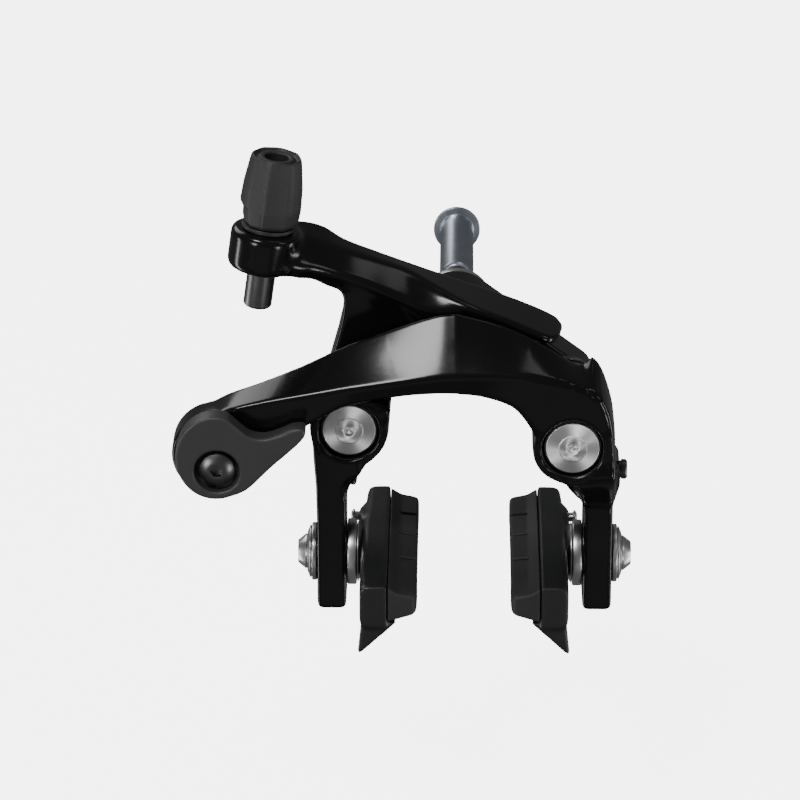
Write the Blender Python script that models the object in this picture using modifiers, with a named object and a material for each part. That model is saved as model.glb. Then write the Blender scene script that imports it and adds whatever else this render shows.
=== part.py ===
"""Dual-pivot rim brake caliper for a bicycle.

Frame: the origin is the centre of the mounting stud on the face that seats against the fork.
+X is to the right seen from the front, +Y points back into the fork, +Z is up.
Lengths are written in millimetres and turned into metres when a mesh is made.
"""
import bpy
import bmesh
from math import acos, atan2, cos, pi, radians, sin, sqrt
from mathutils import Matrix, Vector

MM = 0.001
GAP = 0.3                      # space kept between pieces that touch
FIT = 0.1                      # radial clearance of a running fit
SIDES = 24                     # facets round a turned piece

# Pivots, both parallel to Y.
LEFT_PIVOT = (-24.0, -15.0)
RIGHT_PIVOT = (26.1, -14.7)
PIVOT_MIDDLE = ((LEFT_PIVOT[0] + RIGHT_PIVOT[0]) / 2, (LEFT_PIVOT[1] + RIGHT_PIVOT[1]) / 2)
BOSS_R = 9.0
HUB_R = 6.1                    # rear end of each boss, inside the return spring
BUSH_R = 5.1
SHANK_R = 4.0
BOLT_HEAD_R = 6.4
COUNTERBORE_R = 6.8

# Layers from the fork forwards (Y).
BRACKET_BACK = -4.5
BRACKET_FRONT = -16.0
BOSS_BACK = -17.4
HUB_FRONT = -24.0
PLATE_BACK = -28.0
REAR_BOSS_FRONT = -43.0
FRONT_BOSS_FRONT = -52.3
HEAD_DEPTH = 2.6

# Mounting stud and the sleeve nut that draws it into the fork.
STUD_R = 3.0
NUT_R = 4.0
NUT_FLANGE_R = 5.6
NUT_START = 13.0
NUT_END = 46.0
SEAT_R = 8.0

# Cable adjuster: its axis leans to the right.
ADJUSTER_FOOT = Vector((-44.6, -36.0, 13.1))
ADJUSTER_AXIS = Vector((4.9, 0.0, 35.7)).normalized()
ADJUSTER_BOSS = (9.4, 18.7)    # span of the arm's boss along the axis
KNOB_SPAN = (20.0, 36.0)
FIRST_FACET = radians(77)      # how far the knob's facets are turned from X

# Quick release.
LEVER_PIVOT = (-53.4, -14.8)
CLAMP_BOLT = (-53.0, -17.8)
LEVER_BACK = -53.9
LEVER_FRONT = -58.7

# Brake shoes.
SHOE_Y = -35.5
SHOE_Z = -48.0
SHOE_LENGTH = 55.0
RIM_CURVE_R = 305.0
Y_AXIS = (0, 1, 0)
PAD_BACK = 6.35                # depth of the rubber behind its friction face
SLOT_HALF_WIDTH = 3.2
SLOT_Z = (-39.7, -54.8)
LEFT_LEG_X = (-31.45, -24.8)   # outer and inner face of each arm's leg at the shoe
RIGHT_LEG_X = (35.75, 29.1)

COLLECTION = "rim_brake_caliper"


# ---------------------------------------------------------------- scene and materials

def start_scene():
    for old in list(bpy.data.objects):
        bpy.data.objects.remove(old, do_unlink=True)
    collection = bpy.data.collections.new(COLLECTION)
    bpy.context.scene.collection.children.link(collection)
    return collection


PARTS = start_scene()


def material(name, colour, metallic, roughness):
    found = bpy.data.materials.get(name)
    if found:
        return found
    made = bpy.data.materials.new(name)
    made.use_nodes = True
    shader = made.node_tree.nodes["Principled BSDF"]
    shader.inputs["Base Color"].default_value = (*colour, 1.0)
    shader.inputs["Metallic"].default_value = metallic
    shader.inputs["Roughness"].default_value = roughness
    return made


GLOSS_BLACK = material("gloss_black_paint", (0.012, 0.012, 0.013), 0.0, 0.16)
MATTE_GREY = material("matte_grey_paint", (0.06, 0.06, 0.063), 0.0, 0.5)
SILVER = material("machined_aluminium", (0.75, 0.75, 0.76), 1.0, 0.28)
STEEL = material("zinc_plated_steel", (0.62, 0.63, 0.65), 1.0, 0.32)
BLUE_STEEL = material("blued_sleeve_steel", (0.2, 0.23, 0.27), 1.0, 0.3)
DARK_STEEL = material("black_oxide_steel", (0.05, 0.05, 0.055), 0.8, 0.35)
BRONZE = material("oiled_bronze", (0.45, 0.3, 0.16), 1.0, 0.4)
RUBBER = material("pad_rubber", (0.03, 0.03, 0.033), 0.0, 0.75)
GRIP = material("knob_elastomer", (0.045, 0.045, 0.048), 0.0, 0.6)
PLASTIC = material("black_nylon", (0.03, 0.03, 0.03), 0.0, 0.45)


# ---------------------------------------------------------------- mesh helpers

def new_part(name, mesh, paint):
    mesh.name = name
    mesh.materials.clear()
    mesh.materials.append(paint)
    made = bpy.data.objects.new(name, mesh)
    PARTS.objects.link(made)
    return made


def mesh_from(points, faces):
    """A closed mesh in metres from points in millimetres, with its faces turned outwards."""
    mesh = bpy.data.meshes.new("work")
    mesh.from_pydata([tuple(value * MM for value in point) for point in points], [], faces)
    tidy(mesh)
    return mesh


def tidy(mesh):
    work = bmesh.new()
    work.from_mesh(mesh)
    bmesh.ops.remove_doubles(work, verts=work.verts, dist=2e-7)
    bmesh.ops.recalc_face_normals(work, faces=work.faces)
    work.to_mesh(mesh)
    work.free()


def bake(made):
    """Apply the object's modifiers and transform to its mesh."""
    graph = bpy.context.evaluated_depsgraph_get()
    mesh = bpy.data.meshes.new_from_object(made.evaluated_get(graph))
    mesh.transform(made.matrix_world)
    name, paint = made.name, made.active_material
    bpy.data.objects.remove(made, do_unlink=True)
    tidy(mesh)
    return new_part(name, mesh, paint)


def combine(made, tools, operation):
    """Join tools to the object or cut them out of it."""
    for tool in tools:
        step = made.modifiers.new(operation.lower(), "BOOLEAN")
        step.operation = operation
        step.solver = "EXACT"
        step.object = tool
        made = bake(made)
        bpy.data.objects.remove(tool, do_unlink=True)
    return made


def join(made, *tools):
    return combine(made, tools, "UNION")


def cut(made, *tools):
    return combine(made, tools, "DIFFERENCE")


def turned(name, profile, foot, axis, paint, sides=SIDES):
    """Turn a profile of (radius, height) pairs, top first, about an axis through foot."""
    mesh = bpy.data.meshes.new(name)
    points = [(radius * MM, 0.0, height * MM) for radius, height in profile]
    mesh.from_pydata(points, [(i, i + 1) for i in range(len(points) - 1)], [])
    made = new_part(name, mesh, paint)
    screw = made.modifiers.new("turn", "SCREW")
    screw.steps = sides
    screw.render_steps = sides
    screw.use_merge_vertices = True
    screw.merge_threshold = 0.000002
    made.rotation_mode = "QUATERNION"
    made.rotation_quaternion = Vector((0, 0, 1)).rotation_difference(Vector(axis))
    made.location = Vector(foot) * MM
    bpy.context.view_layer.update()
    return bake(made)


def ring(name, outer, inner, low, high, foot, axis, paint, sides=SIDES):
    """A plain washer or sleeve: the profile closes on itself."""
    profile = [(inner, high), (outer, high), (outer, low), (inner, low), (inner, high)]
    return turned(name, profile, foot, axis, paint, sides)


def rod(name, radius, low, high, foot, axis, paint=STEEL, sides=SIDES):
    return turned(name, [(0, high), (radius, high), (radius, low), (0, low)], foot, axis, paint, sides)


def hexagon(name, across_flats, low, high, foot, axis, paint=STEEL):
    return rod(name, across_flats / 2 / cos(pi / 6), low, high, foot, axis, paint, 6)


def along_y(pivot, y=0.0):
    return (pivot[0], y, pivot[1])


def plate(name, outline, back, front, paint, across=False):
    """Extrude a closed outline of (x, z) points from y = back to y = front.

    With across set, the outline is (y, z) and the plate runs along X instead.
    """
    curve = bpy.data.curves.new(name, "CURVE")
    curve.dimensions = "2D"
    curve.fill_mode = "BOTH"
    curve.extrude = abs(front - back) / 2 * MM
    spline = curve.splines.new("POLY")
    spline.points.add(len(outline) - 1)
    for point, (x, z) in zip(spline.points, outline):
        point.co = (x * MM, z * MM, 0, 1)
    spline.use_cyclic_u = True
    made = bpy.data.objects.new(name, curve)
    PARTS.objects.link(made)
    middle = (back + front) / 2 * MM
    made.rotation_euler = (pi / 2, 0, pi / 2 if across else 0)
    made.location = (middle, 0, 0) if across else (0, middle, 0)
    made.data.materials.append(paint)
    bpy.context.view_layer.update()
    return bake(made)


def wire(name, points, radius, paint):
    curve = bpy.data.curves.new(name, "CURVE")
    curve.dimensions = "3D"
    curve.bevel_depth = radius * MM
    curve.bevel_resolution = 2
    curve.use_fill_caps = True
    spline = curve.splines.new("POLY")
    spline.points.add(len(points) - 1)
    for knot, point in zip(spline.points, points):
        knot.co = (*(value * MM for value in point), 1)
    made = bpy.data.objects.new(name, curve)
    PARTS.objects.link(made)
    made.data.materials.append(paint)
    bpy.context.view_layer.update()
    return bake(made)


def arc(centre, radius, start, end, steps):
    """Points along an arc, angles in degrees counter-clockwise from +X."""
    angles = [radians(start + (end - start) * i / steps) for i in range(steps + 1)]
    return [(centre[0] + radius * cos(a), centre[1] + radius * sin(a)) for a in angles]


def hull(points):
    """Convex hull of (x, z) points, counter-clockwise."""
    points = sorted(set(points))

    def chain(sequence):
        kept = []
        for p in sequence:
            while len(kept) > 1:
                (ax, az), (bx, bz) = kept[-2], kept[-1]
                if (bx - ax) * (p[1] - az) - (bz - az) * (p[0] - ax) > 1e-9:
                    break
                kept.pop()
            kept.append(p)
        return kept[:-1]

    return chain(points) + chain(points[::-1])


def smooth_curve(knots, samples):
    """A Catmull-Rom curve through the knots, with the given number of samples per span."""
    knots = [Vector(k) for k in knots]
    padded = [2 * knots[0] - knots[1]] + knots + [2 * knots[-1] - knots[-2]]
    points = []
    for i in range(1, len(padded) - 2):
        a, b, c, d = padded[i - 1:i + 3]
        for step in range(samples):
            t = step / samples
            points.append(0.5 * (2 * b + (c - a) * t + (2 * a - 5 * b + 4 * c - d) * t * t
                                 + (3 * b - a - 3 * c + d) * t ** 3))
    points.append(knots[-1])
    return points


def rounded_ring(corners, radii, steps):
    """Round each corner of a closed polygon with a short curve."""
    points = []
    count = len(corners)
    for i, corner in enumerate(corners):
        for_side = []
        for other in (corners[i - 1], corners[(i + 1) % count]):
            edge = other - corner
            reach = min(radii[i], edge.length * 0.45)
            for_side.append(corner + edge.normalized() * reach)
        start, end = for_side
        for step in range(steps + 1):
            t = step / steps
            points.append(start * (1 - t) ** 2 + corner * 2 * t * (1 - t) + end * t * t)
    return points


def loft(name, rails, radii, paint, samples=2, steps=2):
    """Skin a closed section that follows one rail per corner; rails are lists of (x, y, z)."""
    curves = [smooth_curve(rail, samples) for rail in rails]
    rings = [rounded_ring([curve[i] for curve in curves], radii, steps) for i in range(len(curves[0]))]
    size = len(rings[0])
    points = [point for section in rings for point in section]
    faces = []
    for r in range(len(rings) - 1):
        for i in range(size):
            j = (i + 1) % size
            faces.append((r * size + i, r * size + j, (r + 1) * size + j, (r + 1) * size + i))
    for r in (0, len(rings) - 1):
        points.append(sum(rings[r], Vector()) / size)
        for i in range(size):
            faces.append((len(points) - 1, r * size + i, r * size + (i + 1) % size))
    return new_part(name, mesh_from(points, faces), paint)


def box(name, low, high, paint=PLASTIC):
    mesh = bpy.data.meshes.new(name)
    work = bmesh.new()
    bmesh.ops.create_cube(work, size=MM)
    work.to_mesh(mesh)
    work.free()
    made = new_part(name, mesh, paint)
    made.scale = [b - a for a, b in zip(low, high)]
    made.location = [(a + b) / 2 * MM for a, b in zip(low, high)]
    bpy.context.view_layer.update()
    return bake(made)


# ---------------------------------------------------------------- fixed frame of the caliper

def make_bracket():
    """Plate behind both arms: it carries the stud in the middle and a pivot bolt at each end."""
    centre_r, end_r = 9.3, 5.4
    centre = arc((0, 0), centre_r, 0, 360, SIDES)[:-1]
    left = arc(LEFT_PIVOT, end_r, 0, 360, SIDES)[:-1]
    right = arc(RIGHT_PIVOT, end_r, 0, 360, SIDES)[:-1]
    made = plate("bracket", hull(centre + left), BRACKET_BACK, BRACKET_FRONT, GLOSS_BLACK)
    made = join(made, plate("right_half", hull(centre + right), BRACKET_BACK, BRACKET_FRONT, GLOSS_BLACK))
    feet = [along_y(point) for point in ((0, 0), LEFT_PIVOT, RIGHT_PIVOT)]
    bores = [rod("bore", STUD_R + FIT, -20, 0, foot, Y_AXIS) for foot in feet]
    return cut(made, *bores)


def make_mounting_stud():
    made = rod("mounting_stud", STUD_R, BRACKET_FRONT - 1.0, 24.0, (0, 0, 0), Y_AXIS, STEEL)
    head = hexagon("head", 10.0, BRACKET_FRONT - 5.0, BRACKET_FRONT - GAP, (0, 0, 0), Y_AXIS)
    return join(made, head)


def make_mounting_nut():
    """Sleeve nut: a long socket-head nut that reaches through the fork to the stud."""
    bore = STUD_R + 0.15
    profile = [(bore, NUT_END), (NUT_FLANGE_R - 0.3, NUT_END), (NUT_FLANGE_R, NUT_END - 0.3),
               (NUT_FLANGE_R, NUT_END - 1.4), (NUT_R, NUT_END - 1.4), (NUT_R, NUT_START + 0.7),
               (NUT_R - 0.5, NUT_START), (bore, NUT_START), (bore, NUT_END)]
    return turned("mounting_nut", profile, (0, 0, 0), Y_AXIS, BLUE_STEEL)


def make_washers_at_fork():
    ring("seat_washer", SEAT_R, STUD_R + FIT, -2.2, 0.0, (0, 0, 0), Y_AXIS, STEEL)
    ring("serrated_washer", 6.8, STUD_R + FIT, BRACKET_BACK + GAP, -2.5, (0, 0, 0), Y_AXIS, STEEL, 24)


def make_pivot(side, pivot, head_face):
    """Shoulder bolt, bush and thrust washer of one arm."""
    foot = along_y(pivot)
    under_head = head_face + HEAD_DEPTH
    profile = [(0, BRACKET_BACK - 0.5), (STUD_R - 0.5, BRACKET_BACK - 0.5), (STUD_R, BRACKET_BACK - 1.0),
               (STUD_R, BRACKET_FRONT - GAP), (SHANK_R, BRACKET_FRONT - GAP), (SHANK_R, under_head),
               (BOLT_HEAD_R, under_head), (BOLT_HEAD_R, head_face + 0.9),
               (BOLT_HEAD_R - 0.6, head_face + 0.35), (3.0, head_face + 0.05), (2.9, head_face),
               (1.4, head_face), (0.9, head_face + 0.6), (0, head_face + 0.6)]
    turned(side + "_pivot_bolt", profile, foot, Y_AXIS, SILVER)
    bush_front = under_head + 2 * GAP
    ring(side + "_pivot_bush", BUSH_R - 0.05, SHANK_R + FIT, bush_front, BOSS_BACK, foot, Y_AXIS, BRONZE)
    back, front = BRACKET_FRONT - GAP, BOSS_BACK + GAP
    ring(side + "_thrust_washer", 6.4, SHANK_R + FIT, front, back, foot, Y_AXIS, STEEL)


def make_spring_holder():
    low = (PIVOT_MIDDLE[0] - 4.5, -23.5, -13.0)
    high = (PIVOT_MIDDLE[0] + 4.5, BRACKET_FRONT - GAP, -6.6)
    made = box("spring_holder", low, high)
    holes = []
    for side in (-1, 1):
        mouth = (PIVOT_MIDDLE[0] + side * 5.0, -18.6, -9.8)
        holes.append(rod("hole", 1.1, 0, 3.6, mouth, (-side, 0, 0), PLASTIC, 12))
    return cut(made, *holes)


def make_return_spring(name, pivot, inward, hook):
    """Torsion spring round one boss: one end in the central holder, the other behind the arm's leg."""
    coil_r, wire_r = 7.5, 0.85
    back_y, front_y = -18.6, -22.7
    anchor = (abs(PIVOT_MIDDLE[0] - pivot[0]) - 1.8, -9.8 - pivot[1])
    start = atan2(anchor[1], anchor[0]) + acos(coil_r / sqrt(anchor[0] ** 2 + anchor[1] ** 2))
    end = atan2(hook[1], hook[0]) + 4 * pi - acos(coil_r / sqrt(hook[0] ** 2 + hook[1] ** 2))
    steps = 30
    route = [(anchor[0], back_y, anchor[1])]
    for i in range(steps + 1):
        angle = start + (end - start) * i / steps
        route.append((coil_r * cos(angle), back_y + (front_y - back_y) * i / steps, coil_r * sin(angle)))
    coil_end = route[-1]
    clear = 0.6                # share of the free leg that passes the boss before it turns forwards
    route.append((coil_end[0] + (hook[0] - coil_end[0]) * clear, front_y,
                  coil_end[2] + (hook[1] - coil_end[2]) * clear))
    route.append((hook[0] - 0.6, -26.2, hook[1] + 1.0))
    route.append((hook[0], -28.5, hook[1]))
    route.append((hook[0], -32.0, hook[1]))
    world = [(pivot[0] + inward * u, y, pivot[1] + z) for u, y, z in route]
    return wire(name, world, wire_r, DARK_STEEL)


# ---------------------------------------------------------------- arms

def bored_boss(made, pivot, boss_front, head_face):
    """Open the pivot bore and the counterbore round the bolt head."""
    foot = along_y(pivot)
    bore = rod("bore", BUSH_R + 0.05, boss_front - 5, BOSS_BACK + 5, foot, Y_AXIS)
    recess = rod("recess", COUNTERBORE_R, boss_front - 5, head_face + HEAD_DEPTH + GAP, foot, Y_AXIS)
    return cut(made, bore, recess)


def leg_slot(leg_x):
    """Upright slot through a leg, for the shoe bolt."""
    top, bottom = SLOT_Z
    ends = arc((SHOE_Y, top - SLOT_HALF_WIDTH), SLOT_HALF_WIDTH, 0, 180, 12)
    ends += arc((SHOE_Y, bottom + SLOT_HALF_WIDTH), SLOT_HALF_WIDTH, 180, 360, 12)
    return plate("slot", ends, min(leg_x) - 3, max(leg_x) + 3, STEEL, across=True)


def boss_back(pivot):
    """Rear of a pivot boss: a narrow hub for the spring, then the full boss."""
    profile = [(0, BOSS_BACK), (HUB_R, BOSS_BACK), (HUB_R, HUB_FRONT), (BOSS_R, HUB_FRONT),
               (BOSS_R, REAR_BOSS_FRONT + 0.4), (0, REAR_BOSS_FRONT + 0.4)]
    return turned("boss", profile, along_y(pivot), Y_AXIS, GLOSS_BLACK)


REAR_BEAM = {
    "top_rear": [
        (-41, -31, 31.6), (-35, -27.6, 30.6), (-30, -25.4, 28.6), (-25, -25, 25.2), (-18, -25, 22.3),
        (-11, -25, 19.6), (-3.5, -25, 16.9), (4, -25, 14.2), (12, -25, 11.4), (18.5, -25, 8.7),
        (22.4, -25.4, 6.8), (24.2, -28.2, 5.9)],
    "top_front": [
        (-41, -41.5, 31.2), (-35, -36.5, 29.6), (-30, -33, 27.2), (-25, -31.2, 24.7), (-18, -31.2, 22.4),
        (-11, -31.8, 20.1), (-4, -36, 17.4), (4, -40, 14.3), (12, -40, 11.1), (17.5, -40, 8.6),
        (20.9, -39.6, 7.1), (23.2, -36.6, 6.3)],
    "ridge": [
        (-41, -43.4, 26.6), (-36, -41.4, 25), (-31, -39.3, 23.2), (-25.5, -38, 21), (-19.5, -38, 18.6),
        (-13, -38.5, 15.7), (-5.5, -39.5, 13.2), (3, -40, 12), (11, -40, 9.6), (17, -40, 7.2),
        (20.6, -39.5, 5.9), (23, -36.4, 5.3)],
    "under_front": [
        (-41, -43, 22.6), (-36, -40.6, 21), (-32, -38.2, 19.8), (-26, -36, 16), (-20, -36, 14.6),
        (-13, -37, 12.6), (-6, -39, 8.7), (3, -40, 9.6), (10.5, -40, 8.1), (16.5, -40, 6.2),
        (20.3, -39.2, 5.1), (22.8, -36.2, 4.6)],
    "under_rear": [
        (-41, -30, 22.6), (-36, -29, 21), (-31, -27.5, 19.8), (-26, -27, 16), (-20, -26.5, 14.6),
        (-13, -26, 12.6), (-6, -25.5, 8.7), (3, -25, 9.6), (10.5, -25, 8.1), (17, -25, 6.2),
        (22, -25.5, 4.5), (23.8, -28.4, 3.9)],
}

FRONT_BEAM = {
    "top_rear": [
        (-59, -43.6, -9.4), (-51.7, -43.8, -5.1), (-43.8, -44.5, -1.6), (-34.8, -44.5, 2.4),
        (-25.4, -44.5, 7.2), (-14.7, -44.5, 11.5), (-5, -44.5, 14.8), (0, -44.5, 15.6), (9.7, -44.5, 12.8),
        (18.6, -44.5, 8.5), (27.4, -43.4, 3), (30.4, -43.4, 4.9), (32.6, -43, 1.6), (34.8, -42, -5.6),
        (35.7, -42, -12), (36, -42, -18), (36.4, -42, -24), (36.2, -42, -32)],
    "crease": [
        (-59, -52.8, -10), (-51.8, -52.8, -5.8), (-43.4, -52.9, -3.5), (-34.5, -53.2, -1.8),
        (-23.4, -53.7, 0.2), (-12.4, -54, 1.8), (-4.5, -54, 3), (0, -54, 3.4), (8.8, -54, 3.7),
        (18, -54, 3.1), (27.2, -53.6, 1.2), (31.4, -53.2, -1.2), (33.4, -52.8, -4.6), (34.6, -52.6, -8),
        (35.4, -52.3, -13), (35.7, -52.3, -18), (35.9, -52, -23), (36, -43.4, -32)],
    "under_front": [
        (-50, -52.8, -20.5), (-43.5, -52.8, -16.6), (-38, -52.8, -12.4), (-31.5, -53, -8.5),
        (-23.4, -53, -4.2), (-12.4, -53, -2.1), (-4.5, -53, -1.4), (0, -53, -1.4), (6.2, -53, -2.2),
        (12.6, -53, -4.7), (16.6, -52.6, -10), (17.3, -52.4, -13.4), (17.7, -52.3, -15.8),
        (18.3, -52.3, -18), (20.2, -52.3, -21), (22.3, -52.3, -22.4), (24.6, -51.8, -24.2),
        (28.5, -43.4, -32)],
    "under_rear": [
        (-50, -43.6, -20.5), (-43.5, -43.8, -16.6), (-38, -44.5, -12.4), (-31.5, -44.5, -8.5),
        (-23.4, -44.5, -4.2), (-12.4, -44.5, -2.1), (-4.5, -44.5, -1.4), (0, -44.5, -1.4),
        (6.2, -44.5, -2.2), (12.6, -44.5, -4.7), (16.8, -43.6, -10), (17.3, -42.4, -13.4),
        (17.7, -42, -15.8), (18.3, -42, -18), (20.2, -42, -21), (22.3, -42, -22.4), (24.6, -42, -24.2),
        (28.5, -42, -32)],
}

LEFT_LEG = [
    (-32.8, -15.2), (-32.2, -20.5), (-31.6, -28.7), (-31.45, -36.7), (-31.45, -58.4), (-30.9, -59.2),
    (-25.4, -59.2), (-24.8, -58.6), (-24.8, -36.6), (-24.7, -31.8), (-23.8, -28.7), (-19.5, -22.7),
    (-15.6, -16.9), (-14.8, -13), (-14.7, -9.3), (-17.5, -7.8), (-24, -6.6), (-31.3, -10.2)]
LEFT_WEB = [
    (-32.4, -14), (-30.5, -7), (-28.4, -1.2), (-26.6, 5.4), (-25.6, 9.8), (-25.2, 13.6), (-25.6, 17.2),
    (-22, 17.6), (-14, 14), (-6.5, 11), (-5.2, 8), (-8.2, 4.6), (-11.8, -0.8), (-14.2, -6.5),
    (-14.8, -13), (-24, -17)]
RIGHT_LEG = [
    (19.3, -9.6), (22.6, -7.6), (26, -6.6), (29.4, -7.2), (32.2, -9.4), (34.2, -13.4), (35.3, -18.6),
    (36, -23), (37.3, -24.8), (37.3, -28.2), (36.3, -31.2), (35.75, -33.7), (35.75, -58.5),
    (35.2, -59.2), (29.7, -59.2), (29.1, -58.6), (29.1, -34.6), (28.3, -31.4), (23.6, -25.9),
    (19.4, -20.7), (17.6, -14.7)]


def make_rear_arm():
    """Y-shaped arm on the left pivot: cable stop at the top left, wing over the stud, left shoe leg."""
    front = REAR_BOSS_FRONT
    made = plate("rear_arm", LEFT_LEG, PLATE_BACK, front, GLOSS_BLACK)
    web = plate("web", LEFT_WEB, PLATE_BACK + 0.4, -36.6, GLOSS_BLACK)
    beam = loft("beam", list(REAR_BEAM.values()), [1.0, 1.6, 1.6, 1.2, 1.2], GLOSS_BLACK)
    low, high = ADJUSTER_BOSS
    profile = [(0, high), (7.2, high), (8.0, high - 0.7), (8.0, low + 0.9), (7.2, low), (0, low)]
    boss = turned("cable_boss", profile, ADJUSTER_FOOT, ADJUSTER_AXIS, GLOSS_BLACK)
    made = join(made, boss_back(LEFT_PIVOT), web, beam, boss)
    made = bored_boss(made, LEFT_PIVOT, front, front + 0.9)
    track = rod("track", 24.55, -42, -24, along_y(PIVOT_MIDDLE), Y_AXIS, STEEL, 96)
    window = box("window", (-4.6, -42, 3), (10.5, -24, 12))
    made = cut(made, combine(track, [window], "INTERSECT"))
    hole = rod("hole", 3.2 + FIT, low - 6, high + 6, ADJUSTER_FOOT, ADJUSTER_AXIS, STEEL, 24)
    return cut(made, hole, leg_slot(LEFT_LEG_X))


def make_front_arm():
    """C-shaped arm on the right pivot: it arches over in front and carries the quick release."""
    made = plate("front_arm", RIGHT_LEG, PLATE_BACK, REAR_BOSS_FRONT, GLOSS_BLACK)
    beam = loft("beam", list(FRONT_BEAM.values()), [0.8, 0.9, 1.2, 1.0], GLOSS_BLACK)
    profile = [(0, -43.2), (9.0, -43.2), (9.8, -44.0), (9.8, -52.2), (9.0, -53.0), (0, -53.0)]
    disc = turned("disc", profile, along_y((-53.6, -16.6)), Y_AXIS, GLOSS_BLACK)
    boss = rod("boss_front", BOSS_R, FRONT_BOSS_FRONT, REAR_BOSS_FRONT + 1, along_y(RIGHT_PIVOT), Y_AXIS)
    made = join(made, boss_back(RIGHT_PIVOT), beam, disc, boss)
    made = bored_boss(made, RIGHT_PIVOT, FRONT_BOSS_FRONT, FRONT_BOSS_FRONT + 0.3)
    shaft_bore = rod("bore", 6.35, -60, -40, along_y(LEVER_PIVOT), Y_AXIS)
    pin_hole = rod("pin_hole", 1.5 + FIT, -48.5, -40, along_y((PIVOT_MIDDLE[0], 6.4)), Y_AXIS, STEEL, 24)
    screw_hole = rod("screw_hole", 2.1, 29.0, 40.0, (0, SHOE_Y, -26.9), (1, 0, 0), STEEL, 24)
    return cut(made, shaft_bore, pin_hole, screw_hole, leg_slot(RIGHT_LEG_X))


def make_link():
    """Roller on the front arm that carries the rear arm's wing, so both arms turn alike."""
    foot = along_y((PIVOT_MIDDLE[0], 6.4))
    profile = [(0, -28.6), (2.3, -28.6), (2.3, -29.5), (1.5, -29.5), (1.5, -48.2), (0, -48.2)]
    turned("roller_pin", profile, foot, Y_AXIS, STEEL, 24)
    ring("link_roller", 3.0, 1.5 + FIT, -40.5, -29.8, foot, Y_AXIS, BRONZE, 24)


def make_centering_screw():
    foot = (0, SHOE_Y, -26.9)
    profile = [(0, 39.0), (1.9, 39.0), (2.3, 38.6), (2.3, 37.6), (2.0, 37.6), (2.0, 29.5), (0, 29.5)]
    made = turned("centering_screw", profile, foot, (1, 0, 0), DARK_STEEL, 24)
    return cut(made, hexagon("socket", 2.0, 37.4, 40.0, foot, (1, 0, 0)))


# ---------------------------------------------------------------- cable stop and adjuster

def make_adjuster():
    """Threaded barrel that takes the cable housing, and the knob that runs on its thread."""
    top, seat = 29.4, 22.0
    profile = [(2.6, top), (3.2, top), (3.2, 0.5), (2.8, 0.0), (1.2, 0.0), (1.2, seat), (2.6, seat),
               (2.6, top)]
    turned("adjuster_barrel", profile, ADJUSTER_FOOT, ADJUSTER_AXIS, DARK_STEEL)
    low, high = KNOB_SPAN
    facets, bore, mouth, lip = 8, 3.2 + FIT, 2.7, high - 3.0
    ring("adjuster_ring", 5.9, bore, ADJUSTER_BOSS[1] + 0.15, low - 0.2, ADJUSTER_FOOT, ADJUSTER_AXIS,
         PLASTIC)
    outside = [(high, 5.6), (high - 2, 6.05), (high - 7, 6.75), (low + 4.2, 7.0), (low + 0.8, 6.65),
               (low, 6.1)]
    inside = [(low, bore), (lip, bore), (lip, mouth), (high, mouth)]
    around = 5 * facets
    points, faces = [], []
    for height, radius in outside:
        for i in range(around):
            turned_by = 2 * pi * i / around
            past_flat = turned_by % (2 * pi / facets) - pi / facets
            flat = radius * cos(pi / facets) / cos(past_flat)
            reach = 0.75 * flat + 0.25 * radius
            angle = turned_by - FIRST_FACET
            points.append((reach * cos(angle), reach * sin(angle), height))
    for height, radius in inside:
        for i in range(around):
            angle = 2 * pi * i / around - FIRST_FACET
            points.append((radius * cos(angle), radius * sin(angle), height))
    rows = len(outside) + len(inside)
    for row in range(rows):
        for i in range(around):
            j, below = (i + 1) % around, (row + 1) % rows
            faces.append((row * around + i, row * around + j, below * around + j, below * around + i))
    turn = Vector((0, 0, 1)).rotation_difference(ADJUSTER_AXIS)
    placed = [ADJUSTER_FOOT + turn @ Vector(point) for point in points]
    return new_part("adjuster_knob", mesh_from(placed, faces), GRIP)


# ---------------------------------------------------------------- quick release and cable clamp

LEVER_TAIL = [
    (-48.2, -23.3), (-45.7, -21.7), (-40.8, -16.7), (-36.6, -12.8), (-33.9, -10.0), (-33.2, -8.4),
    (-33.9, -7.4), (-36.2, -7.6), (-38.8, -8.8), (-41.3, -9.7), (-43.6, -9.9), (-45.9, -9.2), (-48.2, -7.3)]


def bevel_wedge():
    """Cutter for the slanted lower side of the lever, hinged on the ridge that runs out to its tip."""
    start, end = Vector((-48.3, 0, -18.6)), Vector((-35.4, 0, -8.7))
    along = (end - start).normalized()
    down = Vector((along.z, 0, -along.x))
    near, far = start - along * 12, end + along * 12
    corners = [near, far, far + down * 14, near + down * 14]
    made = plate("wedge", [(c.x, c.z) for c in corners], LEVER_FRONT, LEVER_FRONT - 6, MATTE_GREY)
    hinge = Vector((start.x, LEVER_FRONT, start.z)) * MM
    lean = Matrix.Rotation(radians(-30), 4, along)
    made.data.transform(Matrix.Translation(hinge) @ lean @ Matrix.Translation(-hinge))
    return made


def make_release_lever():
    """Teardrop lever with a recess for the clamp bolt's head."""
    hub, half_width, half_height = (-53.3, -14.6), 8.9, 10.0
    angles = [radians(a) for a in range(72, 292, 10)]
    outline = [(hub[0] + half_width * cos(a), hub[1] + half_height * sin(a)) for a in angles] + LEVER_TAIL
    made = plate("release_lever", outline, LEVER_BACK, LEVER_FRONT, MATTE_GREY)
    recess = rod("recess", 5.0, LEVER_FRONT - 2, LEVER_FRONT + 2.9, along_y(CLAMP_BOLT), Y_AXIS)
    hole = rod("hole", 2.5 + FIT, LEVER_FRONT - 2, LEVER_BACK + 2, along_y(CLAMP_BOLT), Y_AXIS)
    return cut(made, bevel_wedge(), recess, hole)


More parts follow.
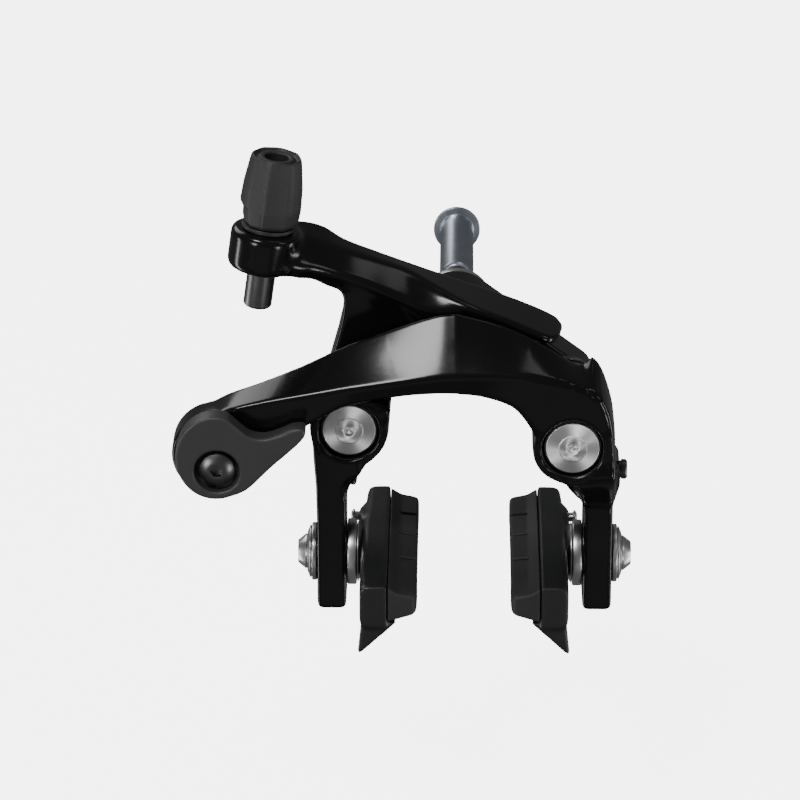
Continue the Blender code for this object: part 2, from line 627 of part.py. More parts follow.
def make_clamp():
    """Eccentric shaft through the arm, and the bolt, plate and nut that hold the cable behind it."""
    profile = [(0, -40.2), (6.0, -40.2), (6.6, -40.8), (6.6, -42.9), (6.2, -42.9), (6.2, -53.6), (0, -53.6)]
    shaft = turned("release_shaft", profile, along_y(LEVER_PIVOT), Y_AXIS, DARK_STEEL)
    cut(shaft, rod("bore", 2.5 + FIT, -60, -30, along_y(CLAMP_BOLT), Y_AXIS, STEEL, 24))
    ring("lever_washer", 8.2, 6.4, LEVER_BACK + 0.2, -53.2, along_y(LEVER_PIVOT), Y_AXIS, STEEL)
    head_y = LEVER_FRONT + 0.3
    bolt_profile = [(0, -30.0), (2.1, -30.0), (2.5, -30.4), (2.5, head_y + 2.3), (3.9, head_y + 2.3),
                    (3.9, head_y + 0.9), (2.2, head_y), (0, head_y)]
    bolt = turned("cable_clamp_bolt", bolt_profile, along_y(CLAMP_BOLT), Y_AXIS, DARK_STEEL, 24)
    cut(bolt, hexagon("socket", 2.5, head_y - 2, head_y + 1.6, along_y(CLAMP_BOLT), Y_AXIS))
    x, z = CLAMP_BOLT
    clamp = box("cable_clamp_plate", (x - 5.2, -36.7, z - 5.0), (x + 6.4, -34.9, z + 5.0), STEEL)
    cut(clamp, rod("hole", 2.5 + FIT, -40, -30, along_y(CLAMP_BOLT), Y_AXIS, STEEL, 24))
    nut = hexagon("cable_clamp_nut", 8.0, -34.6, -31.0, along_y(CLAMP_BOLT), Y_AXIS, STEEL)
    cut(nut, rod("hole", 2.5 + FIT, -40, -29, along_y(CLAMP_BOLT), Y_AXIS, STEEL, 24))


# ---------------------------------------------------------------- brake shoes

def rim_drop(y):
    """The shoe follows the rim, so its ends lie lower than its middle."""
    return (y - SHOE_Y) ** 2 / (2 * RIM_CURVE_R)


def shoe_bar(name, stations, section, radii, paint):
    """Loft a bar along Y; section(y) gives its corners as (distance from the friction face, height)."""
    rails = []
    for corner in range(len(section(stations[0]))):
        rail = []
        for y in stations:
            depth, height = section(y)[corner]
            rail.append((depth, y, SHOE_Z + height - rim_drop(y)))
        rails.append(rail)
    return loft(name, rails, radii, paint, samples=1)


def make_shoe(side, face_x, outward, leg_x):
    """One brake shoe. Depths count from the friction face towards the arm's leg."""
    outer, inner = leg_x

    def moved(part):
        part.data.transform(mirror)
        tidy(part.data)
        return part

    mirror = Matrix.Translation((face_x * MM, 0, 0)) @ Matrix.Diagonal((outward, 1, 1, 1))
    front = SHOE_Y - SHOE_LENGTH / 2
    back = SHOE_Y + SHOE_LENGTH / 2

    def holder_section(y):
        t = (y - front) / SHOE_LENGTH
        outside = 12.9 if t < 0.62 else 12.9 - 0.9 * (t - 0.62) / 0.38
        return [(6.7, 5.4), (outside, 5.2), (outside, -4.9), (6.7, -4.9)]

    stations = [front, front + 1.2, front + 14, front + 27, front + 34, back - 12, back - 1.5, back]
    holder = shoe_bar(side + "_pad_holder", stations, holder_section, [0.6, 1.8, 1.8, 0.6], GLOSS_BLACK)
    swell_points = [(12.0, back - 24.5, SHOE_Z + 4.0), (13.7, back - 18, SHOE_Z + 4.8),
                    (13.7, back - 12.5, SHOE_Z + 4.4), (12.0, back - 6, SHOE_Z + 3.4)]
    swell = loft("swell", [[(d - 2, y, z) for d, y, z in swell_points], swell_points,
                           [(d, y, z - 7.6) for d, y, z in swell_points],
                           [(d - 2, y, z - 7.6) for d, y, z in swell_points]],
                 [0.3, 1.4, 1.4, 0.3], GLOSS_BLACK)
    fin_rails = [[(4.0, front + 0.8, -52.6), (4.2, front + 7, -52.8), (5.4, front + 13, -52.9)],
                 [(12.4, front + 0.8, -52.0), (12.4, front + 7, -52.3), (12.2, front + 13, -52.6)],
                 [(13.4, front + 0.8, -61.2), (12.9, front + 7, -58.6), (12.4, front + 13, -54.0)],
                 [(12.4, front + 0.8, -60.8), (11.8, front + 7, -58.0), (11.6, front + 13, -53.8)]]
    fin = loft("fin", fin_rails, [0.2, 0.4, 0.5, 0.3], GLOSS_BLACK)
    holder = join(holder, swell, fin)
    under_pad = box("under_pad", (-1, front - 1, -52.9), (6.65, back + 1, SHOE_Z + 8))
    holder = cut(holder, under_pad)
    bolt_depth = abs(inner - face_x)
    tap = rod("tap", 3.0 + FIT, 9.0, 20.0, (0, SHOE_Y, SHOE_Z), (1, 0, 0), STEEL, 24)
    screw_y, screw_z = back - 15.2, SHOE_Z + 3.2
    screw_tap = rod("screw_tap", 1.25, 10.0, 20.0, (0, screw_y, screw_z), (1, 0, 0), STEEL, 16)
    moved(cut(holder, tap, screw_tap))

    def pad_section(y):
        end = min(y - front, back - 1.0 - y)
        lean = 0.0 if end > 3 else (3 - end) * 0.45
        return [(lean * 0.6, 3.2 - lean * 0.3), (4.2, 3.6), (PAD_BACK, 5.1), (PAD_BACK, -3.3),
                (lean * 0.6, -1.5)]

    pad_stations = [front, front + 3, front + 16, front + 29, front + 42, back - 4, back - 1.0]
    pad = shoe_bar(side + "_brake_pad", pad_stations, pad_section, [0.5, 0.6, 0.3, 0.3, 0.5], RUBBER)
    grooves = [box("groove", (-1, back - s - 0.45, SHOE_Z - 9), (4.2, back - s + 0.45, SHOE_Z + 9))
               for s in (13.6, 25.2, 37.8)]
    moved(cut(pad, *grooves))

    axis = (1, 0, 0)
    foot = (0, SHOE_Y, SHOE_Z)
    leg_near, leg_far = bolt_depth, abs(outer - face_x)
    end = leg_far + 4.5
    bolt_profile = [(0, end), (2.6, end), (3.9, end - 1.6), (4.1, end - 2.0), (3.0, end - 2.0), (3.0, 9.6),
                    (0, 9.6)]
    bolt = turned(side + "_pad_bolt", bolt_profile, foot, axis, STEEL, 24)
    moved(cut(bolt, hexagon("socket", 3.0, end - 1.9, end + 1, foot, axis)))
    moved(ring(side + "_outer_washer", 6.65, 3.0 + FIT, leg_far + 0.15, leg_far + 1.3, foot, axis, STEEL, 24))
    cup = [(3.1, end - 2.15), (4.6, end - 2.15), (6.05, leg_far + 1.75), (6.05, leg_far + 1.45),
           (3.1, leg_far + 1.45), (3.1, end - 2.15)]
    moved(turned(side + "_outer_cup_washer", cup, foot, axis, STEEL, 24))
    moved(ring(side + "_inner_washer", 7.6, 3.0 + FIT, leg_near - 2.3, leg_near - 0.2, foot, axis, STEEL))
    cone = [(3.1, leg_near - 2.45), (6.9, leg_near - 2.45), (6.9, leg_near - 2.7), (5.6, 13.05), (3.1, 13.05),
            (3.1, leg_near - 2.45)]
    moved(turned(side + "_inner_cone_washer", cone, foot, axis, STEEL, 24))
    screw = [(0, 15.6), (0.9, 15.6), (1.6, 15.2), (1.6, 14.7), (1.1, 14.7), (1.1, 10.3), (0, 10.3)]
    moved(turned(side + "_pad_screw", screw, (0, screw_y, screw_z), axis, STEEL, 16))


def main():
    make_bracket()
    make_mounting_stud()
    make_mounting_nut()
    make_washers_at_fork()
    make_pivot("left", LEFT_PIVOT, REAR_BOSS_FRONT + 0.9)
    make_pivot("right", RIGHT_PIVOT, FRONT_BOSS_FRONT + 0.3)
    make_spring_holder()
    make_return_spring("left_return_spring", LEFT_PIVOT, 1, (0.6, -17.0))
    make_return_spring("right_return_spring", RIGHT_PIVOT, -1, (-1.5, -18.6))
    make_rear_arm()
    make_front_arm()
    make_link()
    make_centering_screw()
    make_adjuster()
    make_release_lever()
    make_clamp()
    make_shoe("left", -8.5, -1, LEFT_LEG_X)
    make_shoe("right", 12.6, 1, RIGHT_LEG_X)


main()
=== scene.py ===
"""Looks of the dual-pivot rim brake caliper: fine meshes, paint and metal, light and camera."""
import bpy
import bmesh
import numpy as np
from math import acos, atan2, cos, pi, radians, sin, sqrt
from mathutils import Matrix, Vector
from mathutils.bvhtree import BVHTree
from mathutils.kdtree import KDTree


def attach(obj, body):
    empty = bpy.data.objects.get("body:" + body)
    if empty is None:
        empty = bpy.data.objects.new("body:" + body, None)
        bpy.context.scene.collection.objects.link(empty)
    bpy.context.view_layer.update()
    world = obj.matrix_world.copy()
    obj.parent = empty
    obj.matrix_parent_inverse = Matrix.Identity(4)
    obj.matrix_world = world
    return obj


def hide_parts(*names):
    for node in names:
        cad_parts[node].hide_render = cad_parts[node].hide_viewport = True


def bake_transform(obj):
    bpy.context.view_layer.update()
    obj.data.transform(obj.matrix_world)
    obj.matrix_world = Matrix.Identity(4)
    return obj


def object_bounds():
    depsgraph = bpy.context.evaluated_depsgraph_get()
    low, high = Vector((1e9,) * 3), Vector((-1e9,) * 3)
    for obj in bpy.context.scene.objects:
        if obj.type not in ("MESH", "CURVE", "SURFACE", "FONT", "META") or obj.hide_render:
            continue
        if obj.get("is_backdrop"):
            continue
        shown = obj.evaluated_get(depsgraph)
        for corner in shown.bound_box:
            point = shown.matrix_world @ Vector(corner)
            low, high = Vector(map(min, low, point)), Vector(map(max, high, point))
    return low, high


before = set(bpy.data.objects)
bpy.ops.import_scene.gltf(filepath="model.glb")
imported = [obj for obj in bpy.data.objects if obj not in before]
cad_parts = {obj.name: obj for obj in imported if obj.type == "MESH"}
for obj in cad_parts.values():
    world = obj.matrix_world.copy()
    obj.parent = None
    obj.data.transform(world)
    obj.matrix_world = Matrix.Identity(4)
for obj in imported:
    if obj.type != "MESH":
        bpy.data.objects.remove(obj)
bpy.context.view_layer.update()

MM = 0.001
SIDES = 128                    # facets round a turned piece
GAP = 0.3                      # space kept between pieces that touch
FIT = 0.1                      # radial clearance of a running fit
X_AXIS = (1, 0, 0)
Y_AXIS = (0, 1, 0)

# Pivots, both parallel to Y.
LEFT_PIVOT = (-24.0, -15.0)
RIGHT_PIVOT = (26.1, -14.7)
PIVOT_MIDDLE = ((LEFT_PIVOT[0] + RIGHT_PIVOT[0]) / 2, (LEFT_PIVOT[1] + RIGHT_PIVOT[1]) / 2)
BOSS_R = 9.0
HUB_R = 6.1                    # rear end of each boss, inside the return spring
BUSH_R = 5.1
SHANK_R = 4.0
BOLT_HEAD_R = 6.4
COUNTERBORE_R = 6.8
STUD_R = 3.0

# Layers from the fork forwards (Y).
BRACKET_BACK = -4.5
BRACKET_FRONT = -16.0
BOSS_BACK = -17.4
HUB_FRONT = -24.0
PLATE_BACK = -28.0
REAR_BOSS_FRONT = -43.0
FRONT_BOSS_FRONT = -52.3
HEAD_DEPTH = 2.6

# Cable adjuster: its axis leans to the right.
ADJUSTER_FOOT = Vector((-44.6, -36.0, 13.1))
ADJUSTER_AXIS = Vector((4.9, 0.0, 35.7)).normalized()
ADJUSTER_BOSS = (9.4, 18.7)    # span of the arm's boss along the axis
KNOB_SPAN = (20.0, 36.0)
KNOB_FACETS = 8
BARREL_R = 3.2

# Link roller, clamp and quick release.
ROLLER_Z = 6.4
PIN_R = 1.5
LEVER_PIVOT = (-53.4, -14.8)
CLAMP_BOLT = (-53.0, -17.8)
LEVER_BACK = -53.9
LEVER_FRONT = -58.7
CLAMP_SHANK_R = 2.5

# Brake shoes; depths are counted from the friction face.
SHOE_Y = -35.5
SHOE_Z = -48.0
SHOE_LENGTH = 55.0
RIM_CURVE_R = 305.0
PAD_BACK = 6.55
HOLDER_DEPTH = 12.9
PAD_BOLT_R = 3.0
SLOT_HALF_WIDTH = 3.2
SLOT_Z = (-39.7, -54.8)
LEFT_LEG_X = (-31.45, -24.8)   # outer and inner face of each arm's leg at the shoe
RIGHT_LEG_X = (35.75, 29.1)
CENTERING_SCREW_Z = -26.9


# ---------------------------------------------------------------- mesh helpers, in millimetres

def new_piece(name, mesh):
    mesh.name = name
    made = bpy.data.objects.new(name, mesh)
    bpy.context.scene.collection.objects.link(made)
    return made


def tidy(mesh, distance=2e-7):
    work = bmesh.new()
    work.from_mesh(mesh)
    bmesh.ops.remove_doubles(work, verts=work.verts, dist=distance)
    bmesh.ops.recalc_face_normals(work, faces=work.faces)
    work.to_mesh(mesh)
    work.free()


def mesh_from(points, faces):
    mesh = bpy.data.meshes.new("work")
    mesh.from_pydata([tuple(value * MM for value in point) for point in points], [], faces)
    tidy(mesh)
    return mesh


def bake(made):
    """Apply the object's modifiers and transform to its mesh."""
    bpy.context.view_layer.update()
    graph = bpy.context.evaluated_depsgraph_get()
    mesh = bpy.data.meshes.new_from_object(made.evaluated_get(graph))
    mesh.transform(made.matrix_world)
    name = made.name
    bpy.data.objects.remove(made, do_unlink=True)
    return new_piece(name, mesh)


def combine(made, tools, operation):
    for tool in tools:
        step = made.modifiers.new(operation.lower(), "BOOLEAN")
        step.operation = operation
        step.solver = "EXACT"
        step.object = tool
        made = bake(made)
        tidy(made.data)
        bpy.data.objects.remove(tool, do_unlink=True)
    return made


def join(made, *tools):
    return combine(made, tools, "UNION")


def cut(made, *tools):
    return combine(made, tools, "DIFFERENCE")


def frame_of(foot, axis):
    turn = Vector((0, 0, 1)).rotation_difference(Vector(axis))
    return Matrix.Translation(Vector(foot) * MM) @ turn.to_matrix().to_4x4()


def turned(name, profile, foot, axis, sides=SIDES):
    """Turn a profile of (radius, height) pairs, top first, about an axis through foot."""
    points, faces, rows = [], [], []
    for radius, height in profile:
        if radius == 0:
            rows.append([len(points)])
            points.append((0, 0, height))
            continue
        rows.append(list(range(len(points), len(points) + sides)))
        for i in range(sides):
            angle = 2 * pi * i / sides
            points.append((radius * cos(angle), radius * sin(angle), height))
    for upper, lower in zip(rows, rows[1:]):
        for i in range(sides):
            j = (i + 1) % sides
            corners = [(upper, i), (lower, i), (lower, j), (upper, j)]
            face = list(dict.fromkeys(row[k % len(row)] for row, k in corners))
            if len(face) > 2:
                faces.append(face)
    made = new_piece(name, mesh_from(points, faces))
    made.data.transform(frame_of(foot, axis))
    return made


def ring(name, outer, inner, low, high, foot, axis, sides=SIDES):
    profile = [(inner, high), (outer, high), (outer, low), (inner, low), (inner, high)]
    return turned(name, profile, foot, axis, sides)


def rod(name, radius, low, high, foot, axis, sides=SIDES):
    return turned(name, [(0, high), (radius, high), (radius, low), (0, low)], foot, axis, sides)


def hexagon(name, across_flats, low, high, foot, axis):
    return rod(name, across_flats / 2 / cos(pi / 6), low, high, foot, axis, 6)


def along_y(pivot, y=0.0):
    return (pivot[0], y, pivot[1])


def plate(name, outline, back, front, across=False):
    """Extrude a closed outline along Y, or along X when across is set."""
    size = len(outline)
    points = []
    for depth in (back, front):
        points += [(depth, u, v) if across else (u, depth, v) for u, v in outline]
    faces = [tuple(range(size)), tuple(range(2 * size - 1, size - 1, -1))]
    faces += [(i, (i + 1) % size, size + (i + 1) % size, size + i) for i in range(size)]
    return new_piece(name, mesh_from(points, faces))


def box(name, low, high):
    outline = [(low[0], low[2]), (high[0], low[2]), (high[0], high[2]), (low[0], high[2])]
    return plate(name, outline, low[1], high[1])


def tube(name, points, radius, sides=20):
    """A round wire along the points, with rounded ends."""
    points = [Vector(p) for p in points]
    normal = (points[1] - points[0]).orthogonal().normalized()
    rings, faces = [], []
    for i, point in enumerate(points):
        along = (points[min(i + 1, len(points) - 1)] - points[max(i - 1, 0)]).normalized()
        normal = (normal - along * normal.dot(along)).normalized()
        side = along.cross(normal)
        ends = [(0.0, 1.0)]
        if i == 0:
            ends = [(-0.95, 0.25), (-0.7, 0.7), (-0.35, 0.93), (0.0, 1.0)]
        if i == len(points) - 1:
            ends = [(0.0, 1.0), (0.35, 0.93), (0.7, 0.7), (0.95, 0.25)]
        for shift, scale in ends:
            centre = point + along * shift * radius
            angles = [2 * pi * k / sides for k in range(sides)]
            rings.append([centre + (normal * cos(a) + side * sin(a)) * radius * scale for a in angles])
    for r in range(len(rings) - 1):
        for k in range(sides):
            j = (k + 1) % sides
            faces.append((r * sides + k, r * sides + j, (r + 1) * sides + j, (r + 1) * sides + k))
    faces.append(tuple(range(sides)))
    faces.append(tuple(range((len(rings) - 1) * sides, len(rings) * sides)))
    return new_piece(name, mesh_from([p for section in rings for p in section], faces))


def arc(centre, radius, start, end, steps):
    angles = [radians(start + (end - start) * i / steps) for i in range(steps + 1)]
    return [(centre[0] + radius * cos(a), centre[1] + radius * sin(a)) for a in angles]


def hull(points):
    points = sorted(set(points))

    def chain(sequence):
        kept = []
        for p in sequence:
            while len(kept) > 1:
                (ax, az), (bx, bz) = kept[-2], kept[-1]
                if (bx - ax) * (p[1] - az) - (bz - az) * (p[0] - ax) > 1e-9:
                    break
                kept.pop()
            kept.append(p)
        return kept[:-1]

    return chain(points) + chain(points[::-1])


def spline(knots, samples):
    """A Catmull-Rom curve through the knots."""
    knots = [Vector(k) for k in knots]
    padded = [2 * knots[0] - knots[1]] + knots + [2 * knots[-1] - knots[-2]]
    points = []
    for i in range(1, len(padded) - 2):
        a, b, c, d = padded[i - 1:i + 3]
        for step in range(samples):
            t = step / samples
            points.append(0.5 * (2 * b + (c - a) * t + (2 * a - 5 * b + 4 * c - d) * t * t
                                 + (3 * b - a - 3 * c + d) * t ** 3))
    points.append(knots[-1])
    return points


def smooth_curve(knots, samples, corner=None):
    """A curve through the knots, with a corner at one of them if its index is given."""
    if corner is None:
        return spline(knots, samples)
    return spline(knots[:corner + 1], samples)[:-1] + spline(knots[corner:], samples)


def rounded_ring(corners, radii, steps=6):
    points = []
    count = len(corners)
    for i, corner in enumerate(corners):
        sides = []
        for other in (corners[i - 1], corners[(i + 1) % count]):
            edge = other - corner
            reach = min(radii[i], edge.length * 0.45)
            sides.append(corner + edge.normalized() * reach)
        start, end = sides
        for step in range(steps + 1):
            t = step / steps
            points.append(start * (1 - t) ** 2 + corner * 2 * t * (1 - t) + end * t * t)
    return points


def loft(name, rails, radii, samples=20, corner=None):
    """Skin between lengthwise rails; radii round the section's corners."""
    curves = [smooth_curve(rail, samples, corner) for rail in rails]
    rings = [rounded_ring([curve[i] for curve in curves], radii) for i in range(len(curves[0]))]
    size = len(rings[0])
    points = [point for section in rings for point in section]
    faces = []
    for r in range(len(rings) - 1):
        for i in range(size):
            j = (i + 1) % size
            faces.append((r * size + i, r * size + j, (r + 1) * size + j, (r + 1) * size + i))
    for r in (0, len(rings) - 1):
        points.append(sum(rings[r], Vector()) / size)
        for i in range(size):
            faces.append((len(points) - 1, r * size + i, r * size + (i + 1) % size))
    return new_piece(name, mesh_from(points, faces))


# ---------------------------------------------------------------- forged and moulded surfaces

def edge_points(work, smallest, spacing):
    """Points along the sharp edges of a mesh: (convex ones, concave ones)."""
    found = ([], [])
    for edge in work.edges:
        if len(edge.link_faces) != 2:
            continue
        angle = edge.calc_face_angle_signed(0.0)
        if abs(angle) < smallest:
            continue
        a, b = (v.co for v in edge.verts)
        count = max(1, int((b - a).length / spacing))
        target = found[0] if angle > 0 else found[1]
        target += [a.lerp(b, (i + 0.5) / count) for i in range(count)]
    return found


def nearest_tree(points):
    tree = KDTree(max(1, len(points)))
    for i, point in enumerate(points or [Vector((9, 9, 9))]):
        tree.insert(point, i)
    tree.balance()
    return tree


def relax(co, edges, rounds):
    """Laplacian smoothing of the points along the edges."""
    a, b = edges[:, 0], edges[:, 1]
    degree = np.bincount(a, minlength=len(co)) + np.bincount(b, minlength=len(co))
    for _ in range(rounds):
        total = np.zeros_like(co)
        for axis in range(3):
            total[:, axis] += np.bincount(a, co[b, axis], len(co)) + np.bincount(b, co[a, axis], len(co))
        co = co + 0.5 * (total / degree[:, None] - co)
    return co


def forge(made, voxel=0.35, convex=0.9, concave=2.2, rounds=14, fillet_rounds=40):
    """Give a union of solids the blended, rounded surface of a forging.

    The solid is remeshed evenly and relaxed. Away from its sharp edges it goes back to the exact
    surface, so only the edges are rounded, by about the radii given in millimetres.
    """
    exact = bmesh.new()
    exact.from_mesh(made.data)
    bmesh.ops.triangulate(exact, faces=exact.faces)
    exact.normal_update()
    surface = BVHTree.FromBMesh(exact)
    convex_tree, concave_tree = [nearest_tree(points) for points in edge_points(exact, radians(17), 0.3 * MM)]
    exact.free()
    remesh = made.modifiers.new("even", "REMESH")
    remesh.mode = "VOXEL"
    remesh.voxel_size = voxel * MM
    made = bake(made)
    mesh = made.data
    co = np.empty(len(mesh.vertices) * 3)
    mesh.vertices.foreach_get("co", co)
    co = co.reshape(-1, 3)
    edges = np.empty(len(mesh.edges) * 2, int)
    mesh.edges.foreach_get("vertices", edges)
    edges = edges.reshape(-1, 2)
    soft = relax(co, edges, rounds)
    filled = relax(soft, edges, fillet_rounds)
    result = np.array([surface.find_nearest(point)[0] for point in soft])
    for tree, radius, target in ((concave_tree, concave, filled), (convex_tree, convex, soft)):
        reach = np.array([tree.find(point)[2] for point in co]) / (radius * MM)
        share = 1 - np.clip(reach, 0, 1)
        share = share * share * (3 - 2 * share)
        result += share[:, None] * (target - result)
    result = relax(result, edges, 3)
    mesh.vertices.foreach_set("co", result.ravel())
    mesh.update()
    mesh.shade_smooth()
    return made


def soften(made, width):
    """Round the edges of a machined piece and shade it smooth."""
    bevel = made.modifiers.new("edges", "BEVEL")
    bevel.width = width * MM
    bevel.segments = 3
    bevel.limit_method = "ANGLE"
    bevel.angle_limit = radians(30)
    bevel.harden_normals = False
    made = bake(made)
    made.data.shade_smooth()
    made.data.set_sharp_from_angle(angle=radians(42))
    return made


def set_axis(made, foot, axis):
    """Put the piece's origin on an axis, so that its material can follow the turning."""
    place = frame_of(foot, axis)
    made.data.transform(place.inverted())
    made.matrix_world = place
    return made


# ---------------------------------------------------------------- materials

def shader_material(name, **values):
    made = bpy.data.materials.new(name)
    made.use_nodes = True
    shader = made.node_tree.nodes["Principled BSDF"]
    for key, value in values.items():
        shader.inputs[key.replace("_", " ")].default_value = value
    return made, made.node_tree, shader


def texture(tree, kind, **values):
    place = tree.nodes.new("ShaderNodeTexCoord")
    node = tree.nodes.new(kind)
    tree.links.new(place.outputs["Object"], node.inputs["Vector"])
    for key, value in values.items():
        node.inputs[key].default_value = value
    return node


def spread(tree, source, low, high):
    node = tree.nodes.new("ShaderNodeMapRange")
    node.inputs["To Min"].default_value = low
    node.inputs["To Max"].default_value = high
    tree.links.new(source, node.inputs["Value"])
    return node.outputs["Result"]


def bump(tree, shader, height, strength, distance):
    node = tree.nodes.new("ShaderNodeBump")
    node.inputs["Strength"].default_value = strength
    node.inputs["Distance"].default_value = distance * MM
    tree.links.new(height, node.inputs["Height"])
    tree.links.new(node.outputs["Normal"], shader.inputs["Normal"])


def tint(tree, shader, source, dark, light):
    ramp = tree.nodes.new("ShaderNodeValToRGB")
    ramp.color_ramp.elements[0].color = (*dark, 1)
    ramp.color_ramp.elements[1].color = (*light, 1)
    tree.links.new(source, ramp.inputs["Fac"])
    tree.links.new(ramp.outputs["Color"], shader.inputs["Base Color"])


def gloss_black():
    made, tree, shader = shader_material("gloss_black", Metallic=0.0, Specular_IOR_Level=0.32)
    cloud = texture(tree, "ShaderNodeTexNoise", Scale=90.0, Detail=4.0)
    peel = texture(tree, "ShaderNodeTexNoise", Scale=900.0, Detail=2.0)
    tint(tree, shader, cloud.outputs["Fac"], (0.003, 0.003, 0.0032), (0.006, 0.006, 0.0063))
    tree.links.new(spread(tree, cloud.outputs["Fac"], 0.13, 0.2), shader.inputs["Roughness"])
    bump(tree, shader, peel.outputs["Fac"], 0.03, 0.01)
    return made


def satin(name, dark, light, rough, grain=2600.0, depth=0.02, strength=0.3):
    made, tree, shader = shader_material(name, Metallic=0.0)
    cloud = texture(tree, "ShaderNodeTexNoise", Scale=140.0, Detail=5.0)
    speck = texture(tree, "ShaderNodeTexNoise", Scale=grain, Detail=3.0)
    tint(tree, shader, cloud.outputs["Fac"], dark, light)
    tree.links.new(spread(tree, speck.outputs["Fac"], rough - 0.06, rough + 0.06), shader.inputs["Roughness"])
    bump(tree, shader, speck.outputs["Fac"], strength, depth)
    return made


def metal(name, dark, light, rough, rings=0.0, stretch=0.0):
    """Plated or turned metal. With rings set, fine tool marks run round the piece's own Z axis."""
    made, tree, shader = shader_material(name, Metallic=1.0, Anisotropic=stretch)
    if stretch:
        around = tree.nodes.new("ShaderNodeTangent")
        around.direction_type = "RADIAL"
        around.axis = "Z"
        tree.links.new(around.outputs["Tangent"], shader.inputs["Tangent"])
    cloud = texture(tree, "ShaderNodeTexNoise", Scale=260.0, Detail=5.0)
    tint(tree, shader, cloud.outputs["Fac"], dark, light)
    grain = cloud.outputs["Fac"]
    if rings:
        place = tree.nodes.new("ShaderNodeTexCoord")
        flat = tree.nodes.new("ShaderNodeVectorMath")
        flat.operation = "MULTIPLY"
        flat.inputs[1].default_value = (1, 1, 0)
        tree.links.new(place.outputs["Object"], flat.inputs[0])
        reach = tree.nodes.new("ShaderNodeVectorMath")
        reach.operation = "LENGTH"
        tree.links.new(flat.outputs["Vector"], reach.inputs[0])
        marks = tree.nodes.new("ShaderNodeTexNoise")
        marks.noise_dimensions = "1D"
        marks.inputs["Scale"].default_value = rings
        marks.inputs["Detail"].default_value = 3.0
        tree.links.new(reach.outputs["Value"], marks.inputs["W"])
        grain = marks.outputs["Fac"]
    tree.links.new(spread(tree, grain, rough - 0.07, rough + 0.09), shader.inputs["Roughness"])
    bump(tree, shader, grain, 0.25, 0.012)
    return made


LOOKS = {
    "gloss_black": gloss_black(),
    "matte_grey": satin("matte_grey", (0.030, 0.030, 0.031), (0.040, 0.040, 0.042), 0.44),
    "machined_aluminium": metal("machined_aluminium", (0.84, 0.84, 0.85), (0.94, 0.94, 0.95), 0.42,
                                rings=5200.0, stretch=0.85),
    "zinc_steel": metal("zinc_steel", (0.55, 0.55, 0.56), (0.74, 0.74, 0.75), 0.3),
    "sleeve_steel": metal("sleeve_steel", (0.38, 0.41, 0.47), (0.50, 0.54, 0.61), 0.30),
    "black_steel": metal("black_steel", (0.10, 0.10, 0.105), (0.16, 0.16, 0.165), 0.33, rings=3000.0),
    "bronze": metal("bronze", (0.32, 0.2, 0.1), (0.45, 0.3, 0.16), 0.38),
    "pad_rubber": satin("pad_rubber", (0.012, 0.012, 0.013), (0.022, 0.022, 0.023), 0.62, 1800.0, 0.03,
                        0.4),
    "holder_black": satin("holder_black", (0.010, 0.010, 0.011), (0.016, 0.016, 0.017), 0.36, 2200.0),
    "knob_rubber": satin("knob_rubber", (0.018, 0.018, 0.019), (0.028, 0.028, 0.029), 0.55, 2400.0, 0.03,
                         0.4),
    "black_nylon": satin("black_nylon", (0.012, 0.012, 0.012), (0.02, 0.02, 0.02), 0.5),
}


def stand_for(made, node, body, look):
    """Finish a piece: its material, the CAD node it replaces and the body it rides on."""
    made.name = node + "_look"
    made.data.materials.clear()
    made.data.materials.append(LOOKS[look])
    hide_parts(node)
    if body:
        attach(made, body)
    return made


# ---------------------------------------------------------------- arms

REAR_BEAM = {
    "top_rear": [
        (-41, -31, 31.6), (-35, -27.6, 30.6), (-30, -25.4, 28.6), (-25, -25, 25.2), (-18, -25, 22.3),
        (-11, -25, 19.6), (-3.5, -25, 16.9), (4, -25, 14.2), (12, -25, 11.4), (18.5, -25, 8.7),
        (22.4, -25.4, 6.8), (24.2, -28.2, 5.9)],
    "top_front": [
        (-41, -41.5, 31.2), (-35, -36.5, 29.6), (-30, -33, 27.2), (-25, -31.2, 24.7), (-18, -31.2, 22.4),
        (-11, -31.8, 20.1), (-4, -36, 17.4), (4, -40, 14.3), (12, -40, 11.1), (17.5, -40, 8.6),
        (20.9, -39.6, 7.1), (23.2, -36.6, 6.3)],
    "ridge": [
        (-41, -43.4, 26.6), (-36, -41.4, 25), (-31, -39.3, 23.2), (-25.5, -38, 21), (-19.5, -38, 18.6),
        (-13, -38.5, 15.7), (-5.5, -39.5, 13.2), (3, -40, 12), (11, -40, 9.6), (17, -40, 7.2),
        (20.6, -39.5, 5.9), (23, -36.4, 5.3)],
    "under_front": [
        (-41, -43, 22.6), (-36, -40.6, 21), (-32, -38.2, 19.8), (-26, -36, 16), (-20, -36, 14.6),
        (-13, -37, 12.6), (-6, -39, 8.7), (3, -40, 9.6), (10.5, -40, 8.1), (16.5, -40, 6.2),
        (20.3, -39.2, 5.1), (22.8, -36.2, 4.6)],
    "under_rear": [
        (-41, -30, 22.6), (-36, -29, 21), (-31, -27.5, 19.8), (-26, -27, 16), (-20, -26.5, 14.6),
        (-13, -26, 12.6), (-6, -25.5, 8.7), (3, -25, 9.6), (10.5, -25, 8.1), (17, -25, 6.2),
        (22, -25.5, 4.5), (23.8, -28.4, 3.9)],
}

